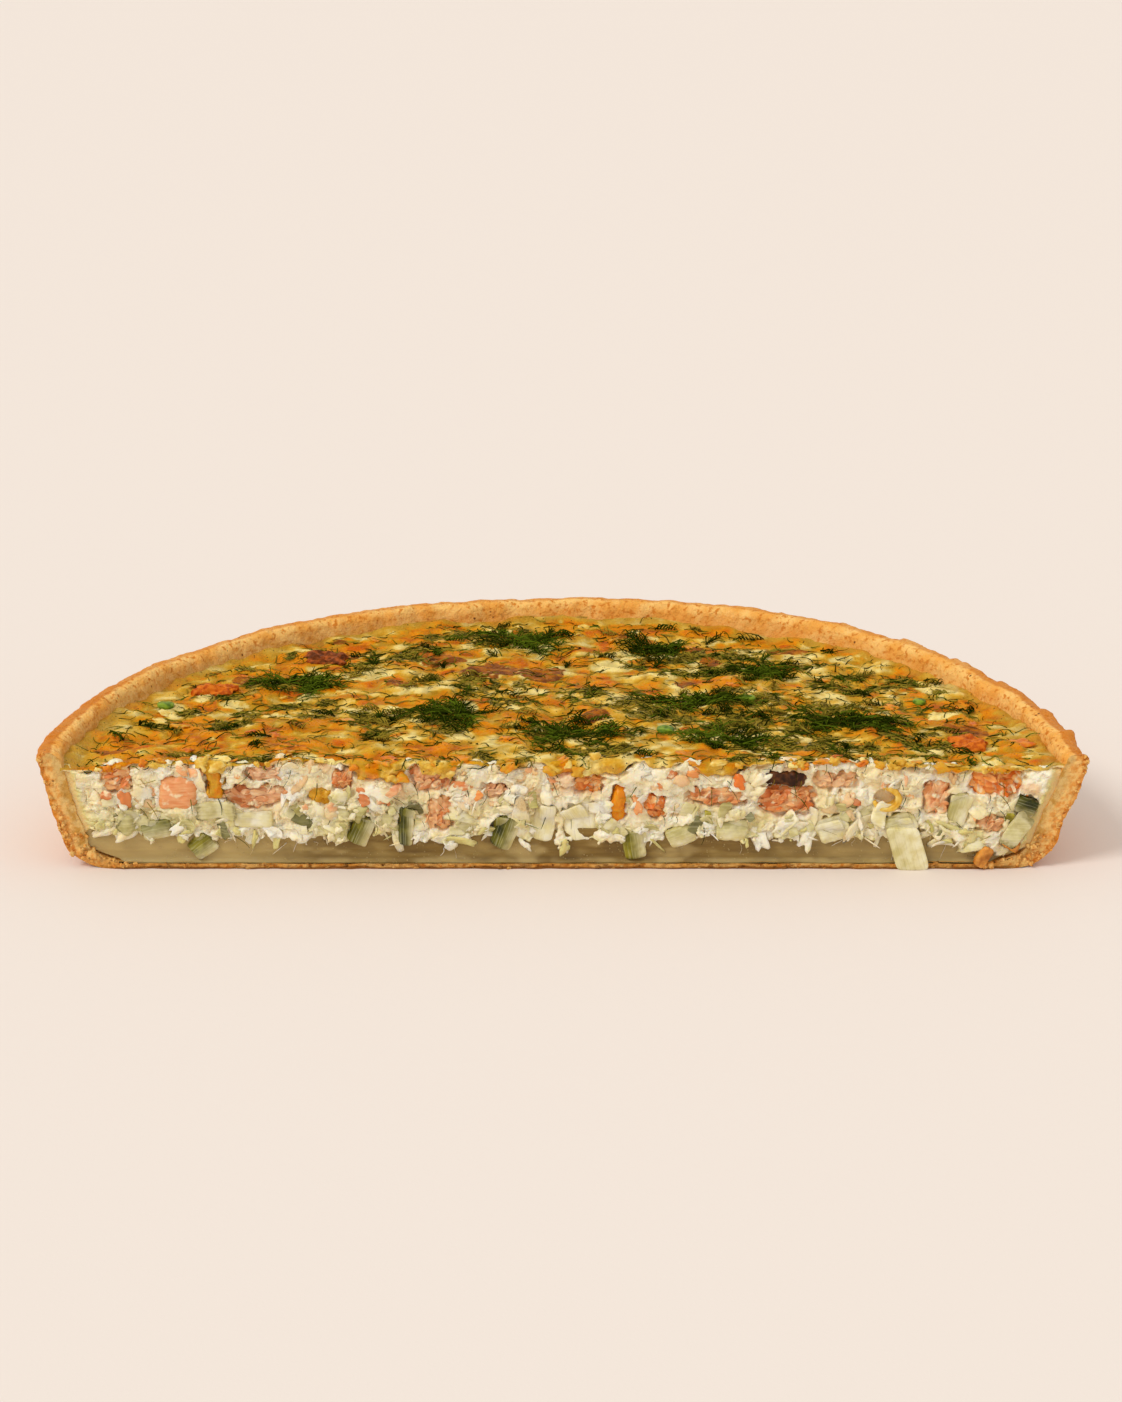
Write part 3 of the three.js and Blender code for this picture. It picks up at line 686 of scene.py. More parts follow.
def build_crumbs(material):
    """Crumbs that cling along the foot and the broken edges of the two cut ends."""
    rng = np.random.default_rng(77)
    outside, inside = crust_sides(2.6)
    count, floor_edge = 400, FOOT_RADIUS - 3
    side = np.where(rng.random(count) < 0.5, 1.0, 0.0)
    at_foot = rng.random(count) < 0.3
    row = rng.integers(0, len(outside), count)
    heights = outside[:, 1]
    foot_rows = np.flatnonzero((outside[:, 0] > floor_edge) & (heights < 8))
    row = np.where(at_foot, rng.choice(foot_rows, count), row)
    share = rng.uniform(0.0, 1.0, count) * np.where(heights[row] > 8, 0.3, 1.0)
    spot = outside[row] * (1 - share[:, None]) + inside[row] * share[:, None]
    place = crust_point(spot[:, 0], math.pi * side, spot[:, 1])
    place[:, 1] = rng.uniform(-0.4, 0.2, count) - 0.9 * (spot[:, 0] < floor_edge)
    middle = ~at_foot & (np.abs(place[:, 0]) < floor_edge)
    size = np.clip(rng.lognormal(-1.15, 0.45, count), 0.12, 0.9) * np.where(at_foot, 1.3, 0.9)
    size = np.where(middle, 0.6 * size, size)
    place[:, 2] = np.maximum(place[:, 2], size * 0.8)
    drawn_out = np.where(middle[:, None], (2.2, 1.0, 0.8), 1.0)
    sizes = size[:, None] * rng.uniform(0.6, 1.3, (count, 3)) * drawn_out
    facing = turns(*(rng.uniform(0, 6.28, (3, count)) * np.where(middle, 0.05, 1.0)))
    points, triangles, owner = lumps(rng, place, sizes, facing, rough=0.8)
    points[:, 2] = np.maximum(points[:, 2], 0.0)
    masks = {
        "toast": 0.4 * rng.random(count)[owner], "crumb": (0.4 + 0.6 * rng.random(count))[owner],
        "moist": np.where(middle, 0.5 * rng.random(count), 0.0)[owner],
        "under": (middle * (0.3 + 0.6 * rng.random(count)))[owner],
    }
    dressed("crust_crumbs", (points, triangles, masks), material, "pastry")


def build_crust():
    """The shell with its two cut ends, and its crumbs."""
    material = pastry_material()
    points, quads, masks = joined([turned_shell(), cut_end(0.0), cut_end(math.pi)])
    points[:, 2] = np.maximum(points[:, 2], 0.0)
    dressed("baked_crust", (points, quads, masks), material, "pastry", "crust")
    build_crumbs(material)


# Levels of the layers

def plain_top_level(x, y):
    """The height of the cheese top in the part's source."""
    radius = np.hypot(x, y)
    dome = TOP_DOME * (1 - (radius / INNER_RADIUS) ** 2)
    lift = TOP_LIFT_AT_CUT * np.exp(-np.maximum(y, 0) / 18)
    relief = 0.7 * noise(x / 11, y / 11, 11) + 0.5 * noise(x / 5.5, y / 5.5, 12)
    return TOP_AT_EDGE + dome + lift + relief


def top_level(x, y):
    """The height of the visible top: the same with heaps of melted cheese and a raised edge."""
    heap, owner, shred = melted(x, y)
    fine = 0.10 * layered(x / 0.9, y / 0.9, 105, 2)
    edge = 0.7 * smoothstep(np.hypot(x, y), INNER_RADIUS - 3.5, INNER_RADIUS - 0.6)
    swell = 0.3 * noise(x / 3.2, y / 2.6, 106)
    return plain_top_level(x, y) - 0.2 + (0.1 + 0.35 * owner) * heap + 0.12 * shred + swell + fine + edge


def melted(x, y):
    """The heaps that the cheese has melted into: how high each place stands in its heap, a fixed
    value for the heap, and how high it stands in the small shreds. All go from 0 to 1."""
    warp_x = x + 2.0 * layered(x / 5, y / 5, 101, 2)
    warp_y = y + 2.0 * layered(x / 5, y / 5, 102, 2)
    _, gap, owner = cells(warp_x / 8.0, warp_y / 6.4, 103)
    _, fine_gap, fine_owner = cells(warp_x / 2.8, warp_y / 2.2, 104)
    return smoothstep(gap, 0.0, 0.5), owner, fine_owner * smoothstep(fine_gap, 0.0, 0.4)


# Where melted cheese has run down over the cut: across, half width, and how far down

CHEESE_RUNS = (
    (-108, 5, 1.0), (-97, 4, 1.2), (-83, 5, 3.2), (-70, 4, 0.8), (-44, 8, 3.4), (-30, 5, 3.2),
    (-12, 4, 1.4), (0, 4, 2.4), (9, 9, 3.6), (24, 4, 1.6), (38, 6, 2.6), (56, 4, 1.0), (66, 3, 0.8),
    (79, 4, 2.0), (93, 4, 1.0), (104, 5, 0.8),
)


def cheesy(x):
    """How far down melted cheese has run over the cut, in millimetres."""
    reach = np.zeros(np.shape(x))
    wavy = x + 1.6 * noise(x / 4, 8.5, 123) + 0.7 * noise(x / 1.5, 9.5, 124)
    for across, half_width, down in CHEESE_RUNS:
        beside = smoothstep(np.abs(wavy - across), half_width * 0.5, half_width)
        reach = np.maximum(reach, down * (1 - beside))
    return reach


def under_cheese(x):
    """The lower edge of the cheese where it shows at the cut."""
    return plain_top_level(x, 0.0) - 0.9 - cheesy(x) + 0.5 * noise(x / 2.2, 3.5, 122)


def set_base_level(x):
    """The upper edge of the clear base where it shows at the cut."""
    ragged = 0.9 * noise(x / 9, 3.5, 22) + 0.7 * noise(x / 4, 4.5, 23)
    return SET_BASE_HEIGHT + ragged + 2.4 * smoothstep(np.abs(x), 92, 112)


def wall_at_cut(height, side):
    """Where the inside of the crust meets the cut, on the left (side -1) or right (side 1)."""
    angle = np.full(np.shape(height), 0.0 if side > 0 else math.pi)
    return crust_point(wall_radius(height), angle, height)[..., 0]


def build_set_base():
    """The smooth clear layer over the floor, a little behind the cut."""
    rows = np.linspace(0, 1, 26)[:, None]
    guess = np.linspace(-113, 113, 520)[None, :]
    columns = np.linspace(0, 1, 520)[None, :]
    z = mixed(BASE_THICKNESS - 0.35, set_base_level(guess) + 1.5, rows)
    x = mixed(wall_at_cut(z, -1) - 0.4, wall_at_cut(z, 1) + 0.4, columns)
    level = noise(x / 14, z / 0.9, 131) * 0.06 + noise(x / 5, z / 0.5, 132) * 0.04
    smear = 0.3 * noise(x / 7, z / 3, 133)
    y = 0.75 + smear - level - 0.9 * smoothstep(z, BASE_THICKNESS + 0.9, BASE_THICKNESS - 0.2) ** 2
    cloudy = smoothstep(layered(x / 9, z / 4, 134, 3), 0.1, 0.9) * 0.6
    pale = np.maximum(cloudy, smoothstep(z, 2.8, 1.5) * 0.5 * smoothstep(noise(x / 8, 1.5, 135), -0.3, 0.3))
    pale = np.maximum(pale, np.where(x < 0, 0.68 * smoothstep(-x, 48, 82), 0.55 * smoothstep(x, 30, 100)))
    base = front_sheet(np.stack([x, y, z], -1), LAYER_DEPTH, 0.0, {"pale": pale})
    dressed("clear_base", base, set_base_material(), "set_base", "set_base")


# How far behind the cut the layers' own sheets reach, and the nodes of the pieces at the cut

LAYER_DEPTH = 14.0
CUT_NODES = (
    [f"salmon_{n}" for n in range(1, 17)] + [f"leek_{n}" for n in range(1, 16)] + ["leek_hanging"]
    + [f"cheese_{n}" for n in range(1, 5)] + ["mushroom", "onion_1", "onion_2"]
)


def piece_cover(x, z, margin=0.0):
    """How much each place of the cut is taken by one of the pieces, from 0 to 1."""
    cover = np.zeros(np.broadcast(x, z).shape)
    for node in CUT_NODES:
        low, high = node_box(node)
        middle, half = (low + high) / 2, (high - low) / 2 + margin
        away = np.abs((x - middle[0]) / half[0]) ** 3 + np.abs((z - middle[2]) / half[2]) ** 3
        cover = np.maximum(cover, smoothstep(away, 1.1, 0.5))
    return cover


def torn_front(x, z):
    """How far behind the cut the torn curd stands at each place, and how much painted shade its hollows get
    there.
    """
    warp_x = x + 1.3 * layered(x / 3.4, z / 3.4, 141, 3)
    warp_z = z + 1.3 * layered(x / 3.4, z / 3.4, 142, 3)
    depth = 1.9 + 0.7 * noise(x / 9, z / 6, 150)
    for size, strength, seed in ((6.8, 2.0, 151), (3.2, 1.5, 152), (1.5, 0.7, 153)):
        near, _, owner = cells(warp_x / size, warp_z / (size * 0.72), seed)
        dome = np.sqrt(np.maximum(0, 1 - (near / 0.95) ** 2))
        depth = depth - strength * (0.25 + 0.75 * owner) * dome
    creases = 0.45 * np.abs(noise(warp_x / 1.3, warp_z / 1.0, 156))
    creases = creases + 0.2 * np.abs(noise(x / 0.6, z / 0.5, 157))
    depth = np.clip(depth + creases, -1.4, 3.4)
    wavy_x = x + 0.9 * noise(x / 1.2, z / 1.2, 158)
    wavy_z = z + 0.9 * noise(x / 1.2, z / 1.2, 159)
    depth = mixed(depth, np.minimum(depth, 0.15 + 0.5 * creases), 0.8 * piece_cover(wavy_x, wavy_z, 1.3))
    pocket = piece_cover(wavy_x, wavy_z, -0.3)
    depth = mixed(depth, np.maximum(depth, 2.2), pocket)
    # The second value is painted shade for the hollows: more where the curd stands further back, less in the
    # pockets of the pieces.
    return depth, smoothstep(depth, 0.0, 2.8) * (1 - 0.7 * pocket)


def low_edge(x):
    """The ragged lower edge of the curds, over the clear base, and down to the crust at the right end."""
    ragged = 1.5 * noise(x / 2.6, 1.5, 161) + 0.9 * noise(x / 1.1, 2.5, 162)
    return mixed(set_base_level(x) - 1.2, 3.4, smoothstep(x, 93, 101)) + ragged


def build_filling():
    """The torn face of the curds, between the clear base and the cheese."""
    count = 760
    rows = np.linspace(0, 1, 84)[:, None]
    columns = np.linspace(0, 1, count)[None, :]
    guess = np.linspace(-115, 115, count)[None, :]
    low, high = low_edge(guess), under_cheese(guess) + 0.9
    z = mixed(low, high, rows)
    x = mixed(wall_at_cut(z, -1) - 0.6, wall_at_cut(z, 1) + 0.6, columns)
    depth, hollow_shade = torn_front(x, z)
    from_wall = np.minimum(x - wall_at_cut(z, -1), wall_at_cut(z, 1) - x)
    tuck = 2.2 * smoothstep(z - low, 1.1, 0.0) ** 2 + 1.6 * smoothstep(high - z, 1.0, 0.0)
    y = mixed(depth, 0.4, smoothstep(from_wall, 2.5, 0.6)) + tuck
    slip_x = 0.35 * noise(x / 1.3, z / 1.3, 163)
    slip_z = 0.35 * noise(x / 1.3, z / 1.3, 164)
    masks = {
        # Painted shade in the hollows of the torn face, fading out next to the walls.
        "hollow_shade": 0.85 * hollow_shade * smoothstep(from_wall, 0.8, 3.0),
        "green": np.maximum(
            smoothstep(layered(x / 7, z / 4, 165, 2), 0.0, 0.7) * smoothstep(z, 20, 11) * 0.75,
            smoothstep(from_wall + 0.5 * noise(x / 1.5, z / 2, 167), 3.0, 1.6)),
        "blush": np.maximum(
            smoothstep(layered(x / 8, z / 5, 166, 2), 0.35, 0.9) * smoothstep(z, 12, 20) * 0.6,
            0.5 * smoothstep(from_wall, 2.2, 0.6)),
    }
    grid = np.stack([x + slip_x, y, z + slip_z], -1)
    dressed("torn_curd", front_sheet(grid, LAYER_DEPTH, 4.0, masks), curd_material(), "curd", "filling")


# The kinds of loose curd: how many, half sizes, roughness, curl, tilt, squareness, fineness of the mesh,
# and the lowest and highest place between the lower edge of the curds (0) and the cheese (1)

LOOSE_CURDS = (
    (80, (1.6, 0.55, 0.9), 0.6, 0.0, 0.4, 2.2, 3, 0.02, 0.94),
    (100, (0.4, 0.36, 0.34), 0.6, 0.0, 0.6, 2.0, 2, 0.0, 1.0),
    (130, (2.4, 0.24, 0.9), 0.5, 0.10, 0.3, 2.6, 3, 0.03, 0.92),
    (110, (1.8, 0.18, 0.22), 0.5, 0.12, 0.35, 2.0, 2, 0.0, 0.96),
    (16, (0.6, 0.3, 1.1), 0.6, 0.1, 0.25, 2.4, 3, 0.0, 0.06),
)


def build_loose_curds():
    """Crumbs, flakes and shreds of curd that stick out of the torn face and over its lower edge."""
    rng = np.random.default_rng(170)
    parts = []
    for count, half, rough, bent, tilt, power, level, lowest, highest in LOOSE_CURDS:
        tries = 3 * count
        x = rng.uniform(-112, 112, tries)
        share = lowest + (highest - lowest) * rng.beta(0.9, 1.1, tries)
        z = mixed(low_edge(x) - 0.2, under_cheese(x) + 0.2, share)
        x = np.clip(x, wall_at_cut(z, -1) + 2.4, wall_at_cut(z, 1) - 2.0)
        free = piece_cover(x, z, 0.6) < rng.uniform(0.05, 0.6, tries)
        x, z = x[free][:count], z[free][:count]
        depth, _ = torn_front(x, z)
        y = np.clip(depth, -1.0, 1.8) + rng.uniform(0.0, 0.45, count)
        grown = np.clip(rng.lognormal(0, 0.35, (count, 1)), 0.4, 1.7)
        sizes = np.array(half) * grown * rng.uniform(0.75, 1.3, (count, 3))
        turn = rng.normal(0.2, 0.8 if highest > 0.5 else 0.3, count)
        facing = turns(turn, rng.normal(0, tilt, count), rng.normal(0, tilt, count))
        bend = rng.normal(0, bent, count)
        places = np.stack([x, y, z], -1)
        points, triangles, owner = lumps(rng, places, sizes, facing, level, rough, bend, power)
        points[:, 1] = np.maximum(points[:, 1], -1.8)
        points[:, 2] = np.minimum(points[:, 2], plain_top_level(points[:, 0], 0.0) + 0.5)
        greenish = (rng.random(count) < 0.35) * smoothstep(z, 18, 9)
        blush = (rng.random(count) < 0.14) * smoothstep(z, 10, 18) * 0.8
        # Painted shade on the curds that sit further back in the torn face.
        hollow_shade = 0.45 * smoothstep(depth, 0.6, 2.4)
        masks = {"hollow_shade": hollow_shade[owner], "green": greenish[owner], "blush": blush[owner]}
        parts.append((points, triangles, masks))
    dressed("loose_curds", joined(parts), curd_material(), "curd")


# From where to where along the cut threads hang

HANGING_SPAN = (-105, 108)


def hanging(rng, x, z, rings, lengths, waves, paces, front, back_off, thickness):
    """Middle lines and radii of threads that hang down over the cut from the places x and z. lengths,
    waves, paces and thickness are the least and most that they are drawn from."""
    column = x.shape
    t = np.linspace(0, 1, rings)[None, :]
    length = rng.uniform(*lengths, column)
    lean = rng.normal(0, 0.7, column)
    wave = rng.uniform(*waves, column)
    pace = rng.uniform(*paces, column) if paces else 3.0
    path_x = x + np.sin(lean) * length * t + wave * np.sin(t * pace)
    path_z = z - np.cos(lean) * length * t
    path = np.stack([path_x, front - back_off * t + 0 * x, path_z], -1)
    return path, rng.uniform(*thickness, column) * (1 - 0.5 * t)


def build_strands():
    """Hair-thin strands of cream drawn down over the clear base."""
    rng = np.random.default_rng(176)
    column = (14, 1)
    x = rng.uniform(*HANGING_SPAN, column)
    z = low_edge(x) + rng.uniform(-1.0, 2.0, column)
    path, radii = hanging(rng, x, z, 9, (1.5, 6.0), (0.1, 0.8), (2, 6), 0.4, 0.15, (0.07, 0.17))
    path[..., 2] = np.maximum(path[..., 2], 0.5)
    dressed("cream_strands", (*threads(path, radii), {}), curd_material(), "curd")


# Patches on the cheese top: across, behind the cut, half width and half depth, in millimetres

ORANGE_PATCHES = (
    (-83, 47, 4, 5), (-90, 26, 11, 12), (-70, 77, 7, 9), (-46, 47, 8, 5), (-61, 29, 10, 7), (-17, 25, 6, 5),
    (-10, 35, 4, 7), (-4, 32, 5, 6), (0, 8, 6, 6), (14, 22, 3, 5), (38, 6, 9, 5), (71, 58, 4, 5),
    (94, 38, 6, 4), (110, 15, 4, 7), (94, 5, 7, 4), (106, 46, 5, 5), (-106, 16, 8, 8),
    (24, 57, 4, 4), (-68, 14, 14, 7),
    (-32, 12, 8, 7), (-30, 3, 7, 3), (16, 109, 20, 5), (22, 3, 6, 4), (-47, 4, 12, 4), (-96, 4, 14, 4),
    (-58, 60, 6, 5), (-20, 45, 6, 4), (8, 62, 7, 5), (-30, 98, 8, 5), (48, 96, 8, 5), (-8, 78, 6, 5),
)
CREAM_PATCHES = (
    (-50, 68, 8, 5), (-38, 54, 5, 4), (-25, 41, 4, 5), (-19, 89, 4, 5), (17, 83, 5, 5), (26, 67, 5, 3),
    (-83, 47, 5, 4), (95, 39, 5, 3), (14, 74, 8, 5), (-6, 91, 6, 5), (-98, 45, 5, 4),
    (48, 10, 5, 4), (88, 12, 4, 3), (-8, 54, 6, 4), (34, 74, 6, 4), (-64, 70, 5, 4), (96, 60, 6, 8),
)
BROWN_PATCHES = (
    (-110, 12, 5, 4), (-92, 61, 5, 4), (-60, 86, 7, 5), (-17, 71, 10, 8), (16, 102, 4, 6), (-5, 69, 7, 7),
    (8, 34, 4, 6), (100, 25, 6, 8), (-59, 98, 4, 4), (-42, 60, 6, 4), (39, 81, 4, 4), (-30, 80, 6, 4),
    (34, 62, 5, 4), (60, 90, 6, 4), (-80, 66, 6, 4),
)
HERB_PATCHES = (
    (-92, 41, 5, 3), (-78, 39, 4, 6), (-48, 30, 9, 12), (-22, 57, 8, 9), (-33, 62, 4, 5), (-65, 46, 9, 8),
    (58, 36, 36, 20), (10, 49, 10, 8), (-19, 103, 20, 9), (42, 77, 22, 18), (78, 61, 17, 12),
    (-70, 62, 12, 6), (20, 40, 12, 10), (90, 20, 10, 8), (-12, 45, 8, 5), (60, 14, 22, 6), (-30, 24, 8, 6),
    (0, 20, 14, 6), (-40, 84, 14, 8), (-100, 32, 6, 5), (-74, 4, 12, 4), (-20, 3, 8, 4), (14, 3, 12, 3),
    (58, 3, 20, 4), (88, 6, 8, 4), (-84, 30, 8, 4), (-58, 38, 8, 6), (-36, 38, 10, 6), (-88, 52, 8, 5),
    (-52, 76, 8, 5), (8, 8, 15, 7),
)


def patch_mask(x, y, patches, seed, level=0.0, softness=0.25):
    """Ragged patches at the named places, with a few more scattered between them."""
    ragged = 0.55 * layered(x / 5, y / 5, seed, 3)
    reach = 0.9 * noise(x / 9, y / 9, seed + 5) + 0.5 * noise(x / 4, y / 4, seed + 6) - 0.75 + level
    for across, back, half_width, half_depth in patches:
        distance = ((x - across) / half_width) ** 2 + ((y - back) / half_depth) ** 2
        reach = np.maximum(reach, 0.9 - 0.9 * distance)
    return smoothstep(reach + ragged, 0.15 - softness / 2, 0.15 + softness)


def herb_mask(x, y):
    open_places = 0.3 + 0.7 * smoothstep(layered(x / 4.5, y / 3.4, 202, 2), -0.3, 0.15)
    return patch_mask(x, y, HERB_PATCHES, 201, -0.05, 0.5) * open_places


def cheese_tone(x, y):
    """How pale the melted cheese is, from 0 for deep orange to 1 for cream."""
    _, owner, shred = melted(x, y)
    orange = patch_mask(x, y, ORANGE_PATCHES, 181, 0.1)
    cream = patch_mask(x, y, CREAM_PATCHES, 191, 0.12)
    tone = 0.5 + 0.16 * (owner - 0.5) + 0.42 * layered(x / 6, y / 5, 192, 2) + 0.06 * shred
    return mixed(mixed(tone, 0.1 + 0.2 * owner, 0.85 * orange), 0.9 + 0.1 * shred, cream)


def build_cheese_top():
    """The baked top, with a ragged lip that hangs over the cut."""
    count, rows, lip_rows = 500, 170, 16
    reach = INNER_RADIUS - 0.2
    y = np.linspace(0, 1, rows)[:, None] ** 1.04 * (reach - 0.02)
    x = np.linspace(-1, 1, count)[None, :] * np.sqrt(reach ** 2 - y ** 2)
    y = np.broadcast_to(y, x.shape)
    height = np.full(x.shape, TOP_AT_EDGE + 0.6)
    real = crust_point(wall_radius(height), np.arctan2(y, x), height)
    stretch = np.hypot(real[..., 0], real[..., 1]) / (INNER_RADIUS - 0.9)
    grown = mixed(1.0, stretch, smoothstep(np.hypot(x, y), 90, reach))
    x, y = x * grown, y * grown
    ragged = 0.9 * noise(x / 5, 1.5, 171) + 0.6 * noise(x / 1.9, 2.5, 172) + 0.3 * noise(x / 0.9, 3.5, 177)
    y = y + (0.3 + ragged - 0.35 * cheesy(x)) * smoothstep(y, 4, 0)
    z = top_level(x, y)
    drop = np.linspace(0, 1, lip_rows + 1)[1:][::-1, None]
    lip_x = np.broadcast_to(x[0], (lip_rows, count))
    sink = drop * (z[0] - under_cheese(x[0]) + 0.5 * noise(lip_x / 0.9, 4.5, 173))
    swell = 0.6 * np.sin(np.clip(drop * 1.25, 0, 1) * math.pi) * (0.5 + 0.5 * noise(lip_x / 3, 1.5, 174))
    rough = 0.6 * layered(lip_x / 1.6, sink / 1.6, 175, 3) * np.minimum(1, drop * 4)
    lip_y = y[0] - swell - rough + 2.4 * smoothstep(drop, 0.75, 1.0)
    x, y, z = np.concatenate([lip_x, x]), np.concatenate([lip_y, y]), np.concatenate([z[0] - sink, z])
    hanging = np.zeros(x.shape)
    hanging[:lip_rows] = drop
    rim_side = smoothstep(np.hypot(x, y) + 1.5 * noise(x / 4, y / 4, 213), INNER_RADIUS - 5, INNER_RADIUS - 1)
    heap = melted(x, y)[0]
    run = smoothstep(cheesy(x), 0.3, 1.6)
    masks = {
        "tone": cheese_tone(x, y),
        # Painted shade in the creases between the heaps, none on the hanging lip.
        "crease_shade": 0.35 * (1 - heap) * smoothstep(hanging, 0.3, 0.0),
        "herb": herb_mask(x, y) * (1 - 0.6 * rim_side) * smoothstep(hanging, 0.5, 0.1),
        "brown": 0.7 * patch_mask(x, y, BROWN_PATCHES, 211, -0.25),
        "rimside": 0.6 * rim_side,
        "curd": smoothstep(hanging + 0.3 * noise(x / 1.6, z, 212), 0.3, 0.6) * (1 - 0.9 * run),
    }
    part = (np.stack([x, y, z], -1).reshape(-1, 3), grid_quads(*x.shape), masks)
    dressed("cheese_skin", part, cheese_skin_material(), "browned_cheese", "cheese_top")


def scattered_places(rng, count, keep):
    """Random places over the top, more of them where keep(x, y) is high."""
    found, total = [], 0
    while total < count:
        x = rng.uniform(-INNER_RADIUS, INNER_RADIUS, 4000)
        y = rng.uniform(-0.5, INNER_RADIUS, 4000)
        chosen = (np.hypot(x, y) < INNER_RADIUS - 3) & (rng.random(4000) < keep(x, y))
        found.append(np.stack([x[chosen], y[chosen]], -1))
        total += chosen.sum()
    return np.concatenate(found)[:count]


def build_cheese_lumps():
    """Half-melted lumps of cheese over the top and along its front edge."""
    rng = np.random.default_rng(220)

    places = scattered_places(rng, 70, lambda x, y: 1.02 - herb_mask(x, y))
    on_edge, in_runs = 30, 46
    edge = np.stack([rng.uniform(-112, 113, on_edge), rng.uniform(0.0, 2.5, on_edge)], -1)
    run = rng.integers(0, len(CHEESE_RUNS), in_runs)
    across, half_width, down = np.array(CHEESE_RUNS)[run].T
    runs = np.stack([across + rng.uniform(-0.8, 0.8, in_runs) * half_width, np.full(in_runs, -0.6)], -1)
    x, y = np.concatenate([places, edge, runs]).T
    count = len(x)
    size = np.clip(rng.lognormal(0.12, 0.35, count), 0.4, 1.9)
    wide, deep = rng.uniform(0.9, 1.8, count), rng.uniform(0.6, 1.3, count)
    tall = rng.uniform(0.25, 0.45, count)
    fallen = np.concatenate([np.zeros(count - in_runs), rng.uniform(0.0, 1.0, in_runs) * down])
    tall = np.where(fallen > 0, rng.uniform(0.5, 0.9, count), tall)
    wide = np.where(fallen > 0, rng.uniform(0.6, 1.2, count), wide)
    sizes = size[:, None] * np.stack([wide, deep, tall], -1)
    z = top_level(x, np.maximum(y, 0)) - 0.05 * size - fallen
    tone = cheese_tone(x, np.maximum(y, 0)) + rng.normal(0.04, 0.12, count)
    tone = np.where(fallen > 0, rng.normal(0.5, 0.2, count), tone)
    facing = turns(rng.normal(0, 0.15, count), rng.normal(0, 0.15, count), rng.normal(0, 0.5, count))
    points, triangles, owner = lumps(rng, np.stack([x, y, z], -1), sizes, facing, 3, 0.7, power=2.3)
    points[:, 1] = np.maximum(points[:, 1], -1.9)
    part = (points, triangles, {"tone": np.clip(tone, 0, 1)[owner]})
    dressed("cheese_lumps", part, cheese_lump_material(), "browned_cheese")


# Pieces at the cut

def fitted(points, node, front=0.2, grow=0.4):
    """Stretches points in x and z to fill a node's box, and moves them to start a little way behind
    the front of the box."""
    low, high = node_box(node)
    out = points.copy()
    for axis in (0, 2):
        share = (points[:, axis] - points[:, axis].min()) / np.ptp(points[:, axis])
        out[:, axis] = low[axis] - grow / 2 + share * (high[axis] - low[axis] + grow)
    out[:, 1] += low[1] + front - points[:, 1].min()
    out[:, 2] = np.maximum(out[:, 2], 0.02)
    return out


def chunk(rng, half, power, rough, level=5, bow=0.0):
    """One rough rounded block. Gives points, triangles and its own coordinates in millimetres."""
    ball, triangles = BALLS[level]
    block = squared(ball, power)
    own = rng.uniform(0, 90)
    scale = np.max(half) / np.array(half)
    u, v, w = (block[:, i] / scale[i] * 1.5 + own * (1 + i) for i in range(3))
    swell = rough * np.min(half) / np.array(half) * layered(u, v, 811, 3, w=w)[:, None]
    local = block * (1 + swell) * half
    masks = {"along": local[:, 0].copy(), "over": local[:, 2].copy()}
    local[:, 1] += bow * (local[:, 2] / half[2]) ** 2
    return local, triangles, masks


def turned(points, degrees):
    """Turns a piece in the plane of the cut."""
    return points @ turns(np.array(math.radians(degrees))).T


# For each piece of salmon: the direction of its flakes in degrees, their thickness, how vivid and how
# dull it is, and how much paler than the others. A piece with no thickness is one smooth block.

SALMON_LOOKS = (
    (30, 1.5, 0.5, 0.0, 0.1), (80, 0.0, 0.2, 0.0, 0.0), (4, 1.8, 0.2, 0.8, 0.2), (6, 1.7, 0.25, 0.5, 0.15),
    (60, 1.6, 0.5, 0.1, 0.1), (62, 2.2, 0.5, 0.4, 0.15), (100, 2.4, 0.35, 0.1, 0.3), (20, 1.6, 0.1, 0.6, 0.3),
    (8, 1.9, 0.9, 0.0, 0.1), (122, 1.7, 0.9, 0.1, -0.2), (14, 1.7, 0.6, 0.2, 0.2), (22, 1.7, 0.7, 0.2, 0.0),
    (16, 1.6, 0.1, 0.0, 0.6), (60, 1.8, 0.2, 0.1, 0.1), (160, 2.2, 1.0, 0.0, 0.0), (40, 2.4, 0.1, 0.0, 0.3),
)


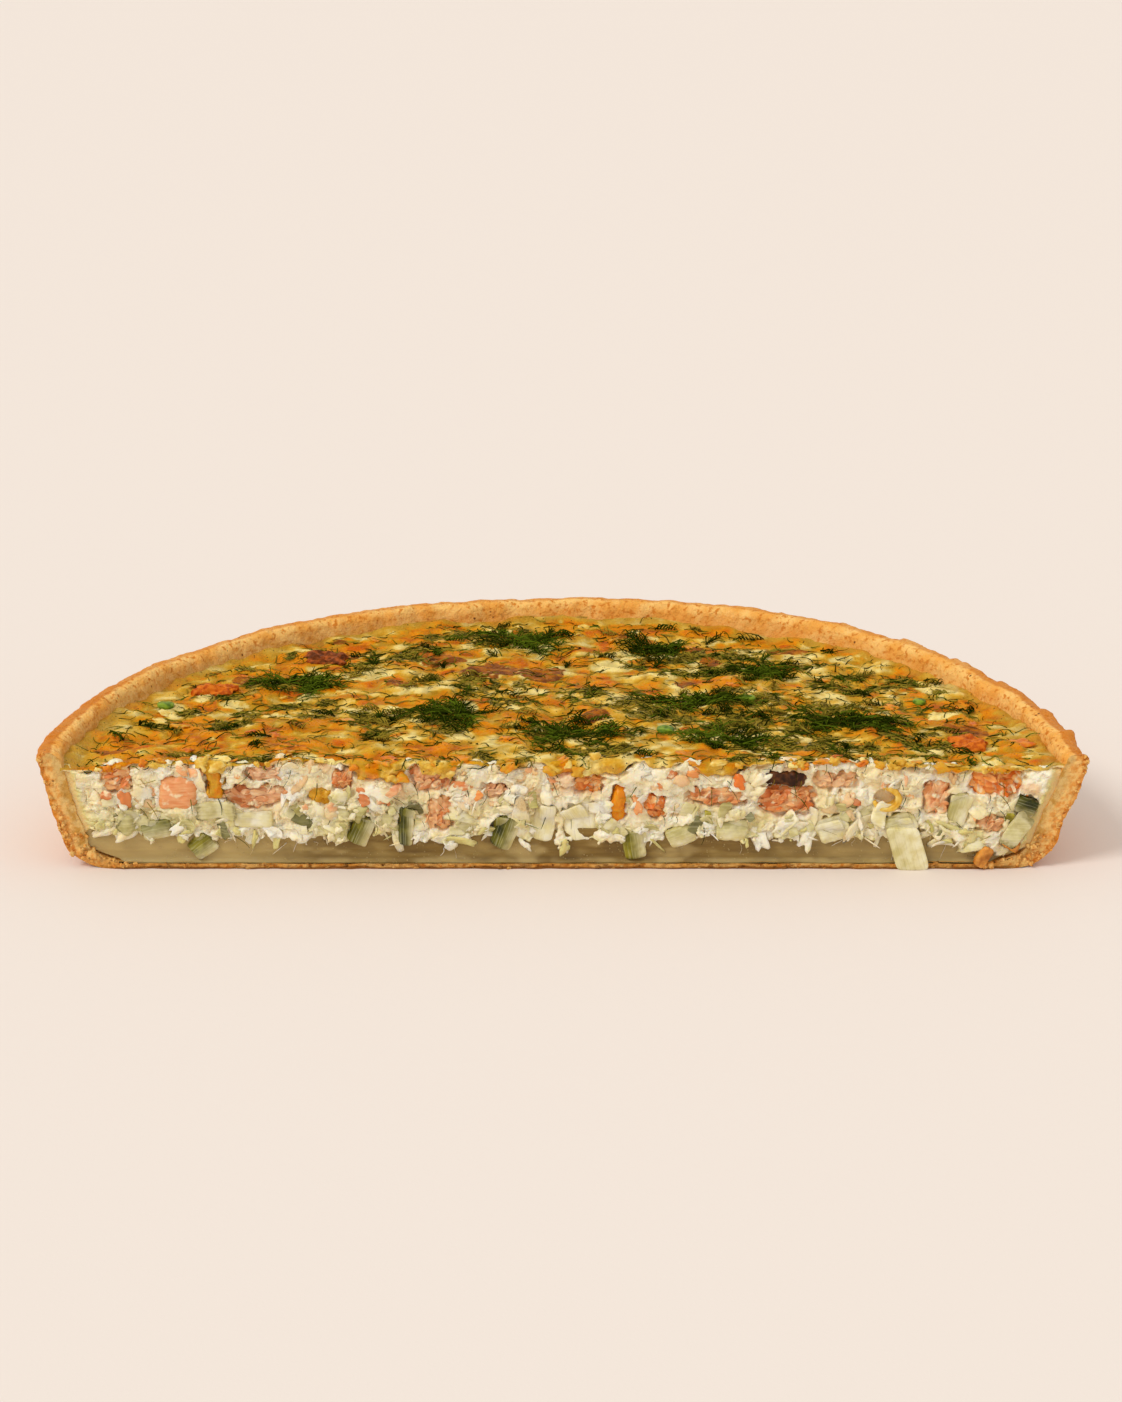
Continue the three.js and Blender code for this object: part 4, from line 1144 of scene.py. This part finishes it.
def flaked(rng, half_wide, half_tall, direction, thickness):
    """A torn block of fish: its flakes overlap like tiles along a direction, and some stand off it."""
    a = math.radians(direction)
    own = rng.uniform(0, 50)
    deep, power = 2.4, 3.2
    points, triangles, masks = chunk(rng, (half_wide, deep, half_tall), power, 0.4, 5)
    along = points[:, 0] * math.cos(a) + points[:, 2] * math.sin(a)
    across = points[:, 2] * math.cos(a) - points[:, 0] * math.sin(a)
    flake = (across + 0.9 * noise(along / 3.5 + own, across / 4, 831)) / thickness + own
    step = flake - np.floor(flake)
    points[:, 1] -= 0.35 * step ** 1.5 + 0.15 * noise(along / 2, across / 1.2, 832)
    tint = 0.5 + 0.6 * noise(np.floor(flake) * 1.7, along / 3, 833) + 0.25 * (step - 0.5)
    masks["tint"] = np.clip(tint, 0, 1)
    parts = [(points, triangles, masks)]
    for _ in range(round(5 + 0.9 * half_wide * half_tall)):
        u, v = rng.uniform(-1.05, 1.05, 2)
        rest = max(0.05, 1 - abs(u) ** power - abs(v) ** power)
        half = (rng.uniform(1.0, 2.4), 0.22, rng.uniform(0.5, 1.2))
        points, triangles, masks = chunk(rng, half, 2.6, 0.7, 3, rng.uniform(-0.7, 0.7))
        lean = turns(np.array(a + rng.normal(0, 0.5)), rng.normal(0, 0.35), rng.normal(0, 0.3))
        masks["tint"] = np.full(len(points), rng.random())
        offset = (u * half_wide, -deep * rest ** (1 / power) - rng.uniform(0.1, 0.5), v * half_tall)
        parts.append((points @ lean.T + offset, triangles, masks))
    return joined(parts)


def build_salmon():
    material = salmon_material("cooked_salmon")
    for number, (direction, thickness, vivid, dull, paler) in enumerate(SALMON_LOOKS, 1):
        node = f"salmon_{number}"
        rng = np.random.default_rng(300 + number)
        low, high = node_box(node)
        half_wide, half_tall = (high[0] - low[0]) / 2, (high[2] - low[2]) / 2
        if thickness:
            points, triangles, masks = flaked(rng, half_wide, half_tall, direction, thickness)
        else:
            points, triangles, masks = chunk(rng, (half_wide, 2.6, half_tall), 5, 0.1)
            points[:, 0] *= 1.12 - 0.12 * points[:, 2] / half_tall
            masks["tint"] = np.full(len(points), 0.45)
        masks["tint"] = masks["tint"] + paler
        masks["vivid"] = np.full(len(points), vivid)
        masks["dull"] = np.full(len(points), dull)
        part = (fitted(points, node, 0.4), triangles, masks)
        dressed(f"{node}_flesh", part, material, "salmon", node)


# For each piece of leek: its turn in degrees, how green and how dark it is, how much it bows, and how
# many thin layers lie against it

LEEK_LOOKS = (
    (12, 0.45, 0.4, 0.6, 1), (38, 0.8, 0.35, 0.5, 1), (-4, 0.1, 0.0, 0.4, 2), (62, 0.8, 0.4, 0.5, 1),
    (87, 0.9, 0.8, 0.3, 1), (66, 0.9, 0.7, 0.9, 1), (78, 0.0, 0.0, 0.4, 2), (100, 0.0, 0.0, 0.3, 2),
    (98, 0.8, 0.2, 0.4, 1), (24, 0.4, 0.0, 0.8, 1), (-2, 0.4, 0.0, 0.8, 1), (20, 0.25, 0.0, 0.6, 2),
    (22, 0.3, 0.0, 0.6, 2), (70, 0.4, 0.0, 0.5, 1), (-22, 0.8, 0.9, 0.4, 0),
)


def leek_piece(node, look, seed, material, deep=1.4, slant=0.0):
    """A slab of leek with some of its thin layers standing off behind and beside it."""
    turn, green, dark, bow, layers = look
    rng = np.random.default_rng(seed)
    low, high = node_box(node)
    wide, tall = high[0] - low[0], high[2] - low[2]
    upright = abs(math.sin(math.radians(turn))) > 0.7
    length, breadth = (tall, wide) if upright else (wide, tall)
    parts = []
    for layer in range(layers + 1):
        half = (length / 2 * (1 - 0.06 * layer), 0.3 if layer else deep, breadth / 2 * (1 - 0.12 * layer))
        rough, level = (0.3, 4) if layer else (0.16, 5)
        points, triangles, masks = chunk(rng, half, 8, rough, level, bow)
        edge = np.clip(points[:, 2] / half[2], -1, 1)
        if layer:
            points += (rng.uniform(-0.8, 0.8), 0.15 - 0.55 * layer, rng.uniform(-0.8, 0.8))
        lean = turns(np.array(math.radians(turn) + layer * rng.normal(0, 0.2)), 0.2 * layer)
        masks["tint"] = np.full(len(points), float(layer))
        masks["green"] = np.clip(green * (1 + 0.9 * edge) * (1 - 0.35 * layer), 0, 1)
        masks["dark"] = np.clip(dark * (1 + 0.9 * edge) * (1 - 0.5 * layer), 0, 1)
        parts.append((points @ lean.T, triangles, masks))
    points, triangles, masks = joined(parts)
    points[:, 0] -= slant * points[:, 2] / tall
    dressed(f"{node}_slice", (fitted(points, node, 0.1), triangles, masks), material, "leek", node)


def build_leek():
    material = leek_material()
    for number, look in enumerate(LEEK_LOOKS, 1):
        leek_piece(f"leek_{number}", look, 400 + number, material)
    leek_piece("leek_hanging", (90, 0.25, 0.0, 0.5, 0), 431, material, deep=0.9, slant=4.0)


def curl(rng, radius, sweep, thickness, deep):
    """A strip of cheese rolled into an open ring."""
    points, triangles, _ = chunk(rng, (1.0, deep, 1.0), 5, 0.04)
    around = points[:, 0] * math.radians(sweep) / 2
    away = radius + points[:, 2] * thickness / 2 * (1 + 0.3 * noise(around * 2, 1.5, 821))
    rolled = np.stack([away * np.sin(around), points[:, 1], -away * np.cos(around)], -1)
    return rolled, triangles


def build_cut_cheese():
    """Three lumps of cheese at the cut and one curl, each with how pale it is."""
    material = cheese_lump_material()
    for number, tone in enumerate((0.4, 0.55, 0.3, 0.7), 1):
        node = f"cheese_{number}"
        rng = np.random.default_rng(500 + number)
        low, high = node_box(node)
        if number == 4:
            points, triangles = curl(rng, 2.1, 280, 1.1, 2.2)
            points = turned(points, 60)
        else:
            half = ((high[0] - low[0]) / 2, 2.2, (high[2] - low[2]) / 2)
            points, triangles, _ = chunk(rng, half, 2.5, 0.45)
        part = (fitted(points, node, 0.0), triangles, {"tone": np.full(len(points), tone)})
        dressed(f"{node}_lump", part, material, "cheese", node)


def build_mushroom_and_onion():
    """The dark mushroom and the glassy onion. The columns are the node, its seed, half sizes,
    squareness, roughness, bow and turn, how far behind its box it starts, its material and slot."""
    dark = plain_food_material("dark_mushroom", (46, 20, 4), (104, 58, 24), 1.8, shine=0.2)
    amber = plain_food_material("amber_onion", (172, 102, 20), (222, 152, 60), 2.0, 0.22, 0.4, 0.4)
    pieces = (
        ("mushroom", 521, (5.2, 2.2, 1.7), 3.2, 0.4, 0.0, 0, 0.2, dark, "mushroom"),
        ("onion_1", 531, (2.6, 0.9, 1.5), 4, 0.15, 0.4, -20, 0.0, amber, "onion"),
        ("onion_2", 532, (2.6, 0.9, 1.5), 4, 0.15, 0.4, 60, 0.0, amber, "onion"),
    )
    for node, seed, half, power, rough, bow, turn, front, material, slot in pieces:
        points, triangles, _ = chunk(np.random.default_rng(seed), half, power, rough, bow=bow)
        part = (fitted(turned(points, turn), node, front), triangles, {})
        dressed(f"{node}_piece", part, material, slot, node)


def build_small_pieces():
    """Small bits of leek and salmon between the curds, which are too many for nodes."""
    rng = np.random.default_rng(540)
    leek, salmon = leek_material(), salmon_material("salmon_crumbs")
    kinds = (
        ("leek_bits", leek, "leek", 90, (1.9, 0.3, 1.0), 8.0, 0.15, (0.16, 0.6)),
        ("salmon_bits", salmon, "salmon", 40, (1.4, 0.5, 0.8), 2.4, 0.4, (0.45, 0.95)),
    )
    for name, material, slot, count, half, power, rough, heights in kinds:
        x = rng.uniform(-110, 110, 3 * count)
        z = mixed(low_edge(x) - 0.5, under_cheese(x), rng.uniform(*heights, 3 * count))
        free = piece_cover(x, z, 0.8) < 0.3
        x, z = x[free][:count], z[free][:count]
        x = np.clip(x, wall_at_cut(z, -1) + 1, wall_at_cut(z, 1) - 1)
        depth, _ = torn_front(x, z)
        places = np.stack([x, np.clip(depth, -0.7, 1.2), z], -1)
        sizes = np.array(half) * rng.lognormal(0, 0.35, (count, 1)) * rng.uniform(0.8, 1.25, (count, 3))
        facing = turns(rng.uniform(0, 3.1, count), rng.normal(0, 0.4, count), rng.normal(0, 0.4, count))
        bend = rng.normal(0.0, 0.12, count)
        points, triangles, owner = lumps(rng, places, sizes, facing, 4, rough, bend, power)
        points[:, 1] = np.maximum(points[:, 1], -1.6)
        masks = {
            "along": points[:, 0], "over": points[:, 2], "tint": rng.random(count)[owner],
            "green": np.clip(rng.normal(0.35, 0.3, count), 0, 1)[owner],
            "dark": 0.8 * (rng.random(count) < 0.14)[owner],
            "vivid": rng.random(count)[owner], "dull": 0.6 * (rng.random(count) < 0.4)[owner],
        }
        dressed(name, (points, triangles, masks), material, slot)


# Pieces baked into the top

def top_piece(node, material, slot, power, rough, level):
    low, high = node_box(node)
    rng = np.random.default_rng(550 + len(node) + int(node[-1]))
    points, triangles, _ = chunk(rng, (high - low) / 2 * (1, 1, 0.9), power, rough, level)
    points += (low + high) / 2
    u, v = points[:, 0] / 3, points[:, 1] / 2.4
    points[:, 0] += 1.1 * rough * layered(u, v, 552, 3)
    points[:, 1] += 0.9 * rough * layered(u, v, 553, 3)
    points[:, 2] += 0.35 * rough * layered(points[:, 0] / 1.6, points[:, 1] / 1.4, 551, 3)
    dressed(f"{node}_piece", (points, triangles, {}), material, slot, node)


def build_top_pieces():
    """The baked salmon and the green slices that show on the top."""
    fish = (1.6, 0.5, 0.1, 0.1, 0.3)
    baked = plain_food_material("baked_salmon", (176, 72, 2), (226, 122, 26), *fish)
    browned = plain_food_material("browned_salmon", (96, 44, 6), (176, 86, 28), *fish)
    green = plain_food_material("green_slice", (76, 104, 14), (132, 156, 40), 1.6, 0.3, 0.2, 0.1, 0.08)
    for number, material in enumerate((baked, baked, browned), 1):
        top_piece(f"top_salmon_{number}", material, "baked_salmon", 2.4, 0.9, 5)
    for number in range(1, 5):
        top_piece(f"top_green_{number}", green, "green_leaf", 2.6, 0.15, 4)


# Herbs

def lying_needles(starts, headings, lengths, bends, radii, lift, rings=5):
    """Needles that lie on the top: their middle lines and radii. Angles are in radians."""
    t = np.linspace(0, 1, rings)[None, :]
    turn = headings[:, None] + bends[:, None] * (t - 0.5)
    step = lengths[:, None] / (rings - 1)
    x = starts[:, 0, None] + np.cumsum(np.cos(turn) * step, 1) - np.cos(turn) * step
    y = np.maximum(starts[:, 1, None] + np.cumsum(np.sin(turn) * step, 1) - np.sin(turn) * step, -1.2)
    over_edge = 1.6 * smoothstep(y, 0.2, -1.0)
    z = top_level(x, np.maximum(y, 0.0)) + lift[:, None] * np.sin(t * math.pi * 0.8) + radii[:, None] * 0.6
    return np.stack([x, y, z - over_edge], -1), radii[:, None] * (1 - 0.7 * t ** 2)


def herb_piece(name, material, centres, radii, age, *nodes):
    """Needles as one mesh, each with its age."""
    masks = {"age": np.repeat(np.clip(age, 0, 1), 3 * centres.shape[1])}
    dressed(name, (*threads(centres, radii), masks), material, "dill", *nodes)


def frond(rng, x, y, heading, length, age):
    """A stem with side needles on both sides."""
    pairs = 7
    along = np.linspace(0.1, 0.98, pairs)
    turn = heading + rng.uniform(-0.5, 0.5) * (along - 0.5)
    stem_x = x + np.cos(heading) * along * length
    stem_y = y + np.sin(heading) * along * length
    starts, headings, lengths = [np.array([[x, y]])], [np.array([heading])], [np.array([length])]
    for side in (-1, 1):
        starts.append(np.stack([stem_x, stem_y], -1))
        headings.append(turn + side * rng.uniform(0.4, 1.0, pairs))
        lengths.append(length * rng.uniform(0.3, 0.7, pairs) * (1.15 - 0.5 * along))
    starts, headings, lengths = (np.concatenate(v) for v in (starts, headings, lengths))
    count = len(headings)
    radii = np.where(np.arange(count) == 0, 0.24, rng.uniform(0.11, 0.22, count))
    lift = rng.uniform(0.1, 1.6, count)
    bends = rng.uniform(-0.9, 0.9, count)
    return starts, headings, lengths, bends, radii, lift, age + rng.uniform(-0.1, 0.1, count)


def frond_piece(name, material, fronds, *nodes):
    arrays = [np.concatenate([f[i] for f in fronds]) for i in range(7)]
    herb_piece(name, material, *lying_needles(*arrays[:6]), arrays[6], *nodes)


def either_way(rng, spread):
    """A heading that is mostly across, to the left or to the right."""
    return rng.normal(0, spread) + math.pi * (rng.random() < 0.5)


def build_dill():
    """The nine larger tufts."""
    material = herb_material()
    for number in range(1, 10):
        rng = np.random.default_rng(600 + number)
        low, high = node_box(f"dill_{number}")
        middle, half = (low + high) / 2, (high - low) / 2
        fronds = []
        for _ in range(int(11 + 1.3 * half[0])):
            x, y = middle[:2] + np.clip(rng.normal(0, 0.45, 2), -0.95, 0.95) * half[:2]
            fronds.append(frond(rng, x, y, either_way(rng, 0.9), rng.uniform(4, 11), rng.uniform(0.0, 0.42)))
        frond_piece(f"dill_{number}_fronds", material, fronds, f"dill_{number}")


def build_scattered_herbs():
    """Loose fronds and threads of dill over the top, and mats of short baked needles."""
    material = herb_material()
    rng = np.random.default_rng(700)
    fronds = []
    for x, y in scattered_places(rng, 130, lambda x, y: 0.25 + 0.75 * herb_mask(x, y)):
        fronds.append(frond(rng, x, y, either_way(rng, 0.8), rng.uniform(2.5, 6.5), rng.uniform(0.1, 0.9)))
    frond_piece("dill_fronds", material, fronds)
    # The columns are the count, where they lie, the spread of their headings, their lengths, most bend,
    # radii and lifts, the middle and spread of their age, and the greatest age
    kinds = {
        "dill_threads": (
            2000, lambda x, y: 0.3 + 0.7 * herb_mask(x, y) + 0.4 * smoothstep(y, 7, 2), 0.8,
            (1.5, 5.5), 2.2, (0.08, 0.17), (0.0, 0.6), (0.32, 0.22), 1.0),
        "herb_mats": (
            2900, lambda x, y: 0.03 + 0.97 * herb_mask(x, y) ** 2, 0.9,
            (1.2, 4.2), 1.8, (0.10, 0.27), (-0.1, 0.2), (0.62, 0.24), 0.84),
    }
    for name, (count, keep, spread, lengths, bend, radii, lifts, ages, oldest) in kinds.items():
        places = scattered_places(rng, count, keep)
        headings = rng.normal(0, spread, count) + math.pi * (rng.random(count) < 0.5)
        centres, thickness = lying_needles(
            places, headings, rng.uniform(*lengths, count), rng.uniform(-bend, bend, count),
            rng.uniform(*radii, count), rng.uniform(*lifts, count), 6)
        age = np.clip(rng.normal(*ages, count), 0, oldest)
        herb_piece(name, material, centres, thickness, age)


def build_dill_at_cut():
    """A few threads of dill that hang over the cut face."""
    rng = np.random.default_rng(720)
    column = (90, 1)
    x = rng.uniform(*HANGING_SPAN, column)
    z = mixed(low_edge(x), under_cheese(x) + 1.0, rng.beta(1.6, 0.8, column))
    path, radii = hanging(rng, x, z, 6, (1.2, 5.0), (0, 0.5), None, -1.0, 0.3, (0.07, 0.15))
    herb_piece("dill_at_cut", herb_material(), path, radii, rng.normal(0.4, 0.25, len(x)))


# The floor, light and camera

CAMERA_LENS = 85.0
CAMERA_DISTANCE = 0.787
CAMERA_ELEVATION = math.radians(19.4)
CAMERA_TARGET_HEIGHT = 0.0426
FLOOR_HALF_WIDTH = 8.0
ROOM_LIGHT = 0.74
KEY_LIGHT = 1.3
KEY_DIRECTION = (0.62, 0.40, -0.80)
KEY_SPREAD = 22


def build_stage():
    recipe = Recipe("pale_floor", 0.8, shine=0.2)
    material = recipe.finish((240, 228, 217), recipe.noise(0.8, 2), 0.02)
    corners = FLOOR_HALF_WIDTH * np.array([(-1, -1, 0), (1, -1, 0), (1, 1, 0), (-1, 1, 0)])
    floor = mesh_object("floor", corners, np.array([[0, 1, 2, 3]]), {}, in_metres=True)
    floor.data.materials.append(material)


def aimed_light(name, direction, strength, spread, colour):
    """A distant light that shines along a direction."""
    light = bpy.data.lights.new(name, "SUN")
    light.energy = strength
    light.angle = math.radians(spread)
    light.color = colour
    lamp = linked(name, light)
    x, y, z = np.array(direction) / np.linalg.norm(direction)
    lamp.rotation_euler = (math.acos(-z), 0, math.atan2(y, x) - math.pi / 2)


def build_light():
    world = bpy.data.worlds.new("soft_room")
    world.use_nodes = True
    background = world.node_tree.nodes["Background"]
    background.inputs["Color"].default_value = (1.0, 0.985, 0.97, 1.0)
    background.inputs["Strength"].default_value = ROOM_LIGHT
    bpy.context.scene.world = world
    aimed_light("key", KEY_DIRECTION, KEY_LIGHT, KEY_SPREAD, (1.0, 0.985, 0.965))
    bpy.context.scene.view_settings.view_transform = "Standard"
    bpy.context.scene.view_settings.look = "None"


def build_camera():
    data = bpy.data.cameras.new("camera")
    data.lens = CAMERA_LENS
    data.sensor_width = 36.0
    data.clip_start = 0.01
    camera = linked("camera", data)
    target = placed([(0.0, 0.0, 0.0)])[0]
    camera.location = (
        target[0],
        target[1] - CAMERA_DISTANCE * math.cos(CAMERA_ELEVATION),
        CAMERA_TARGET_HEIGHT + CAMERA_DISTANCE * math.sin(CAMERA_ELEVATION),
    )
    camera.rotation_euler = (math.pi / 2 - CAMERA_ELEVATION, 0, 0)
    bpy.context.scene.camera = camera


build_camera()
build_light()
build_stage()
build_crust()
build_set_base()
build_filling()
build_loose_curds()
build_strands()
build_cheese_top()
build_cheese_lumps()
build_salmon()
build_leek()
build_cut_cheese()
build_mushroom_and_onion()
build_small_pieces()
build_top_pieces()
build_dill()
build_scattered_herbs()
build_dill_at_cut()

bpy.context.view_layer.update()
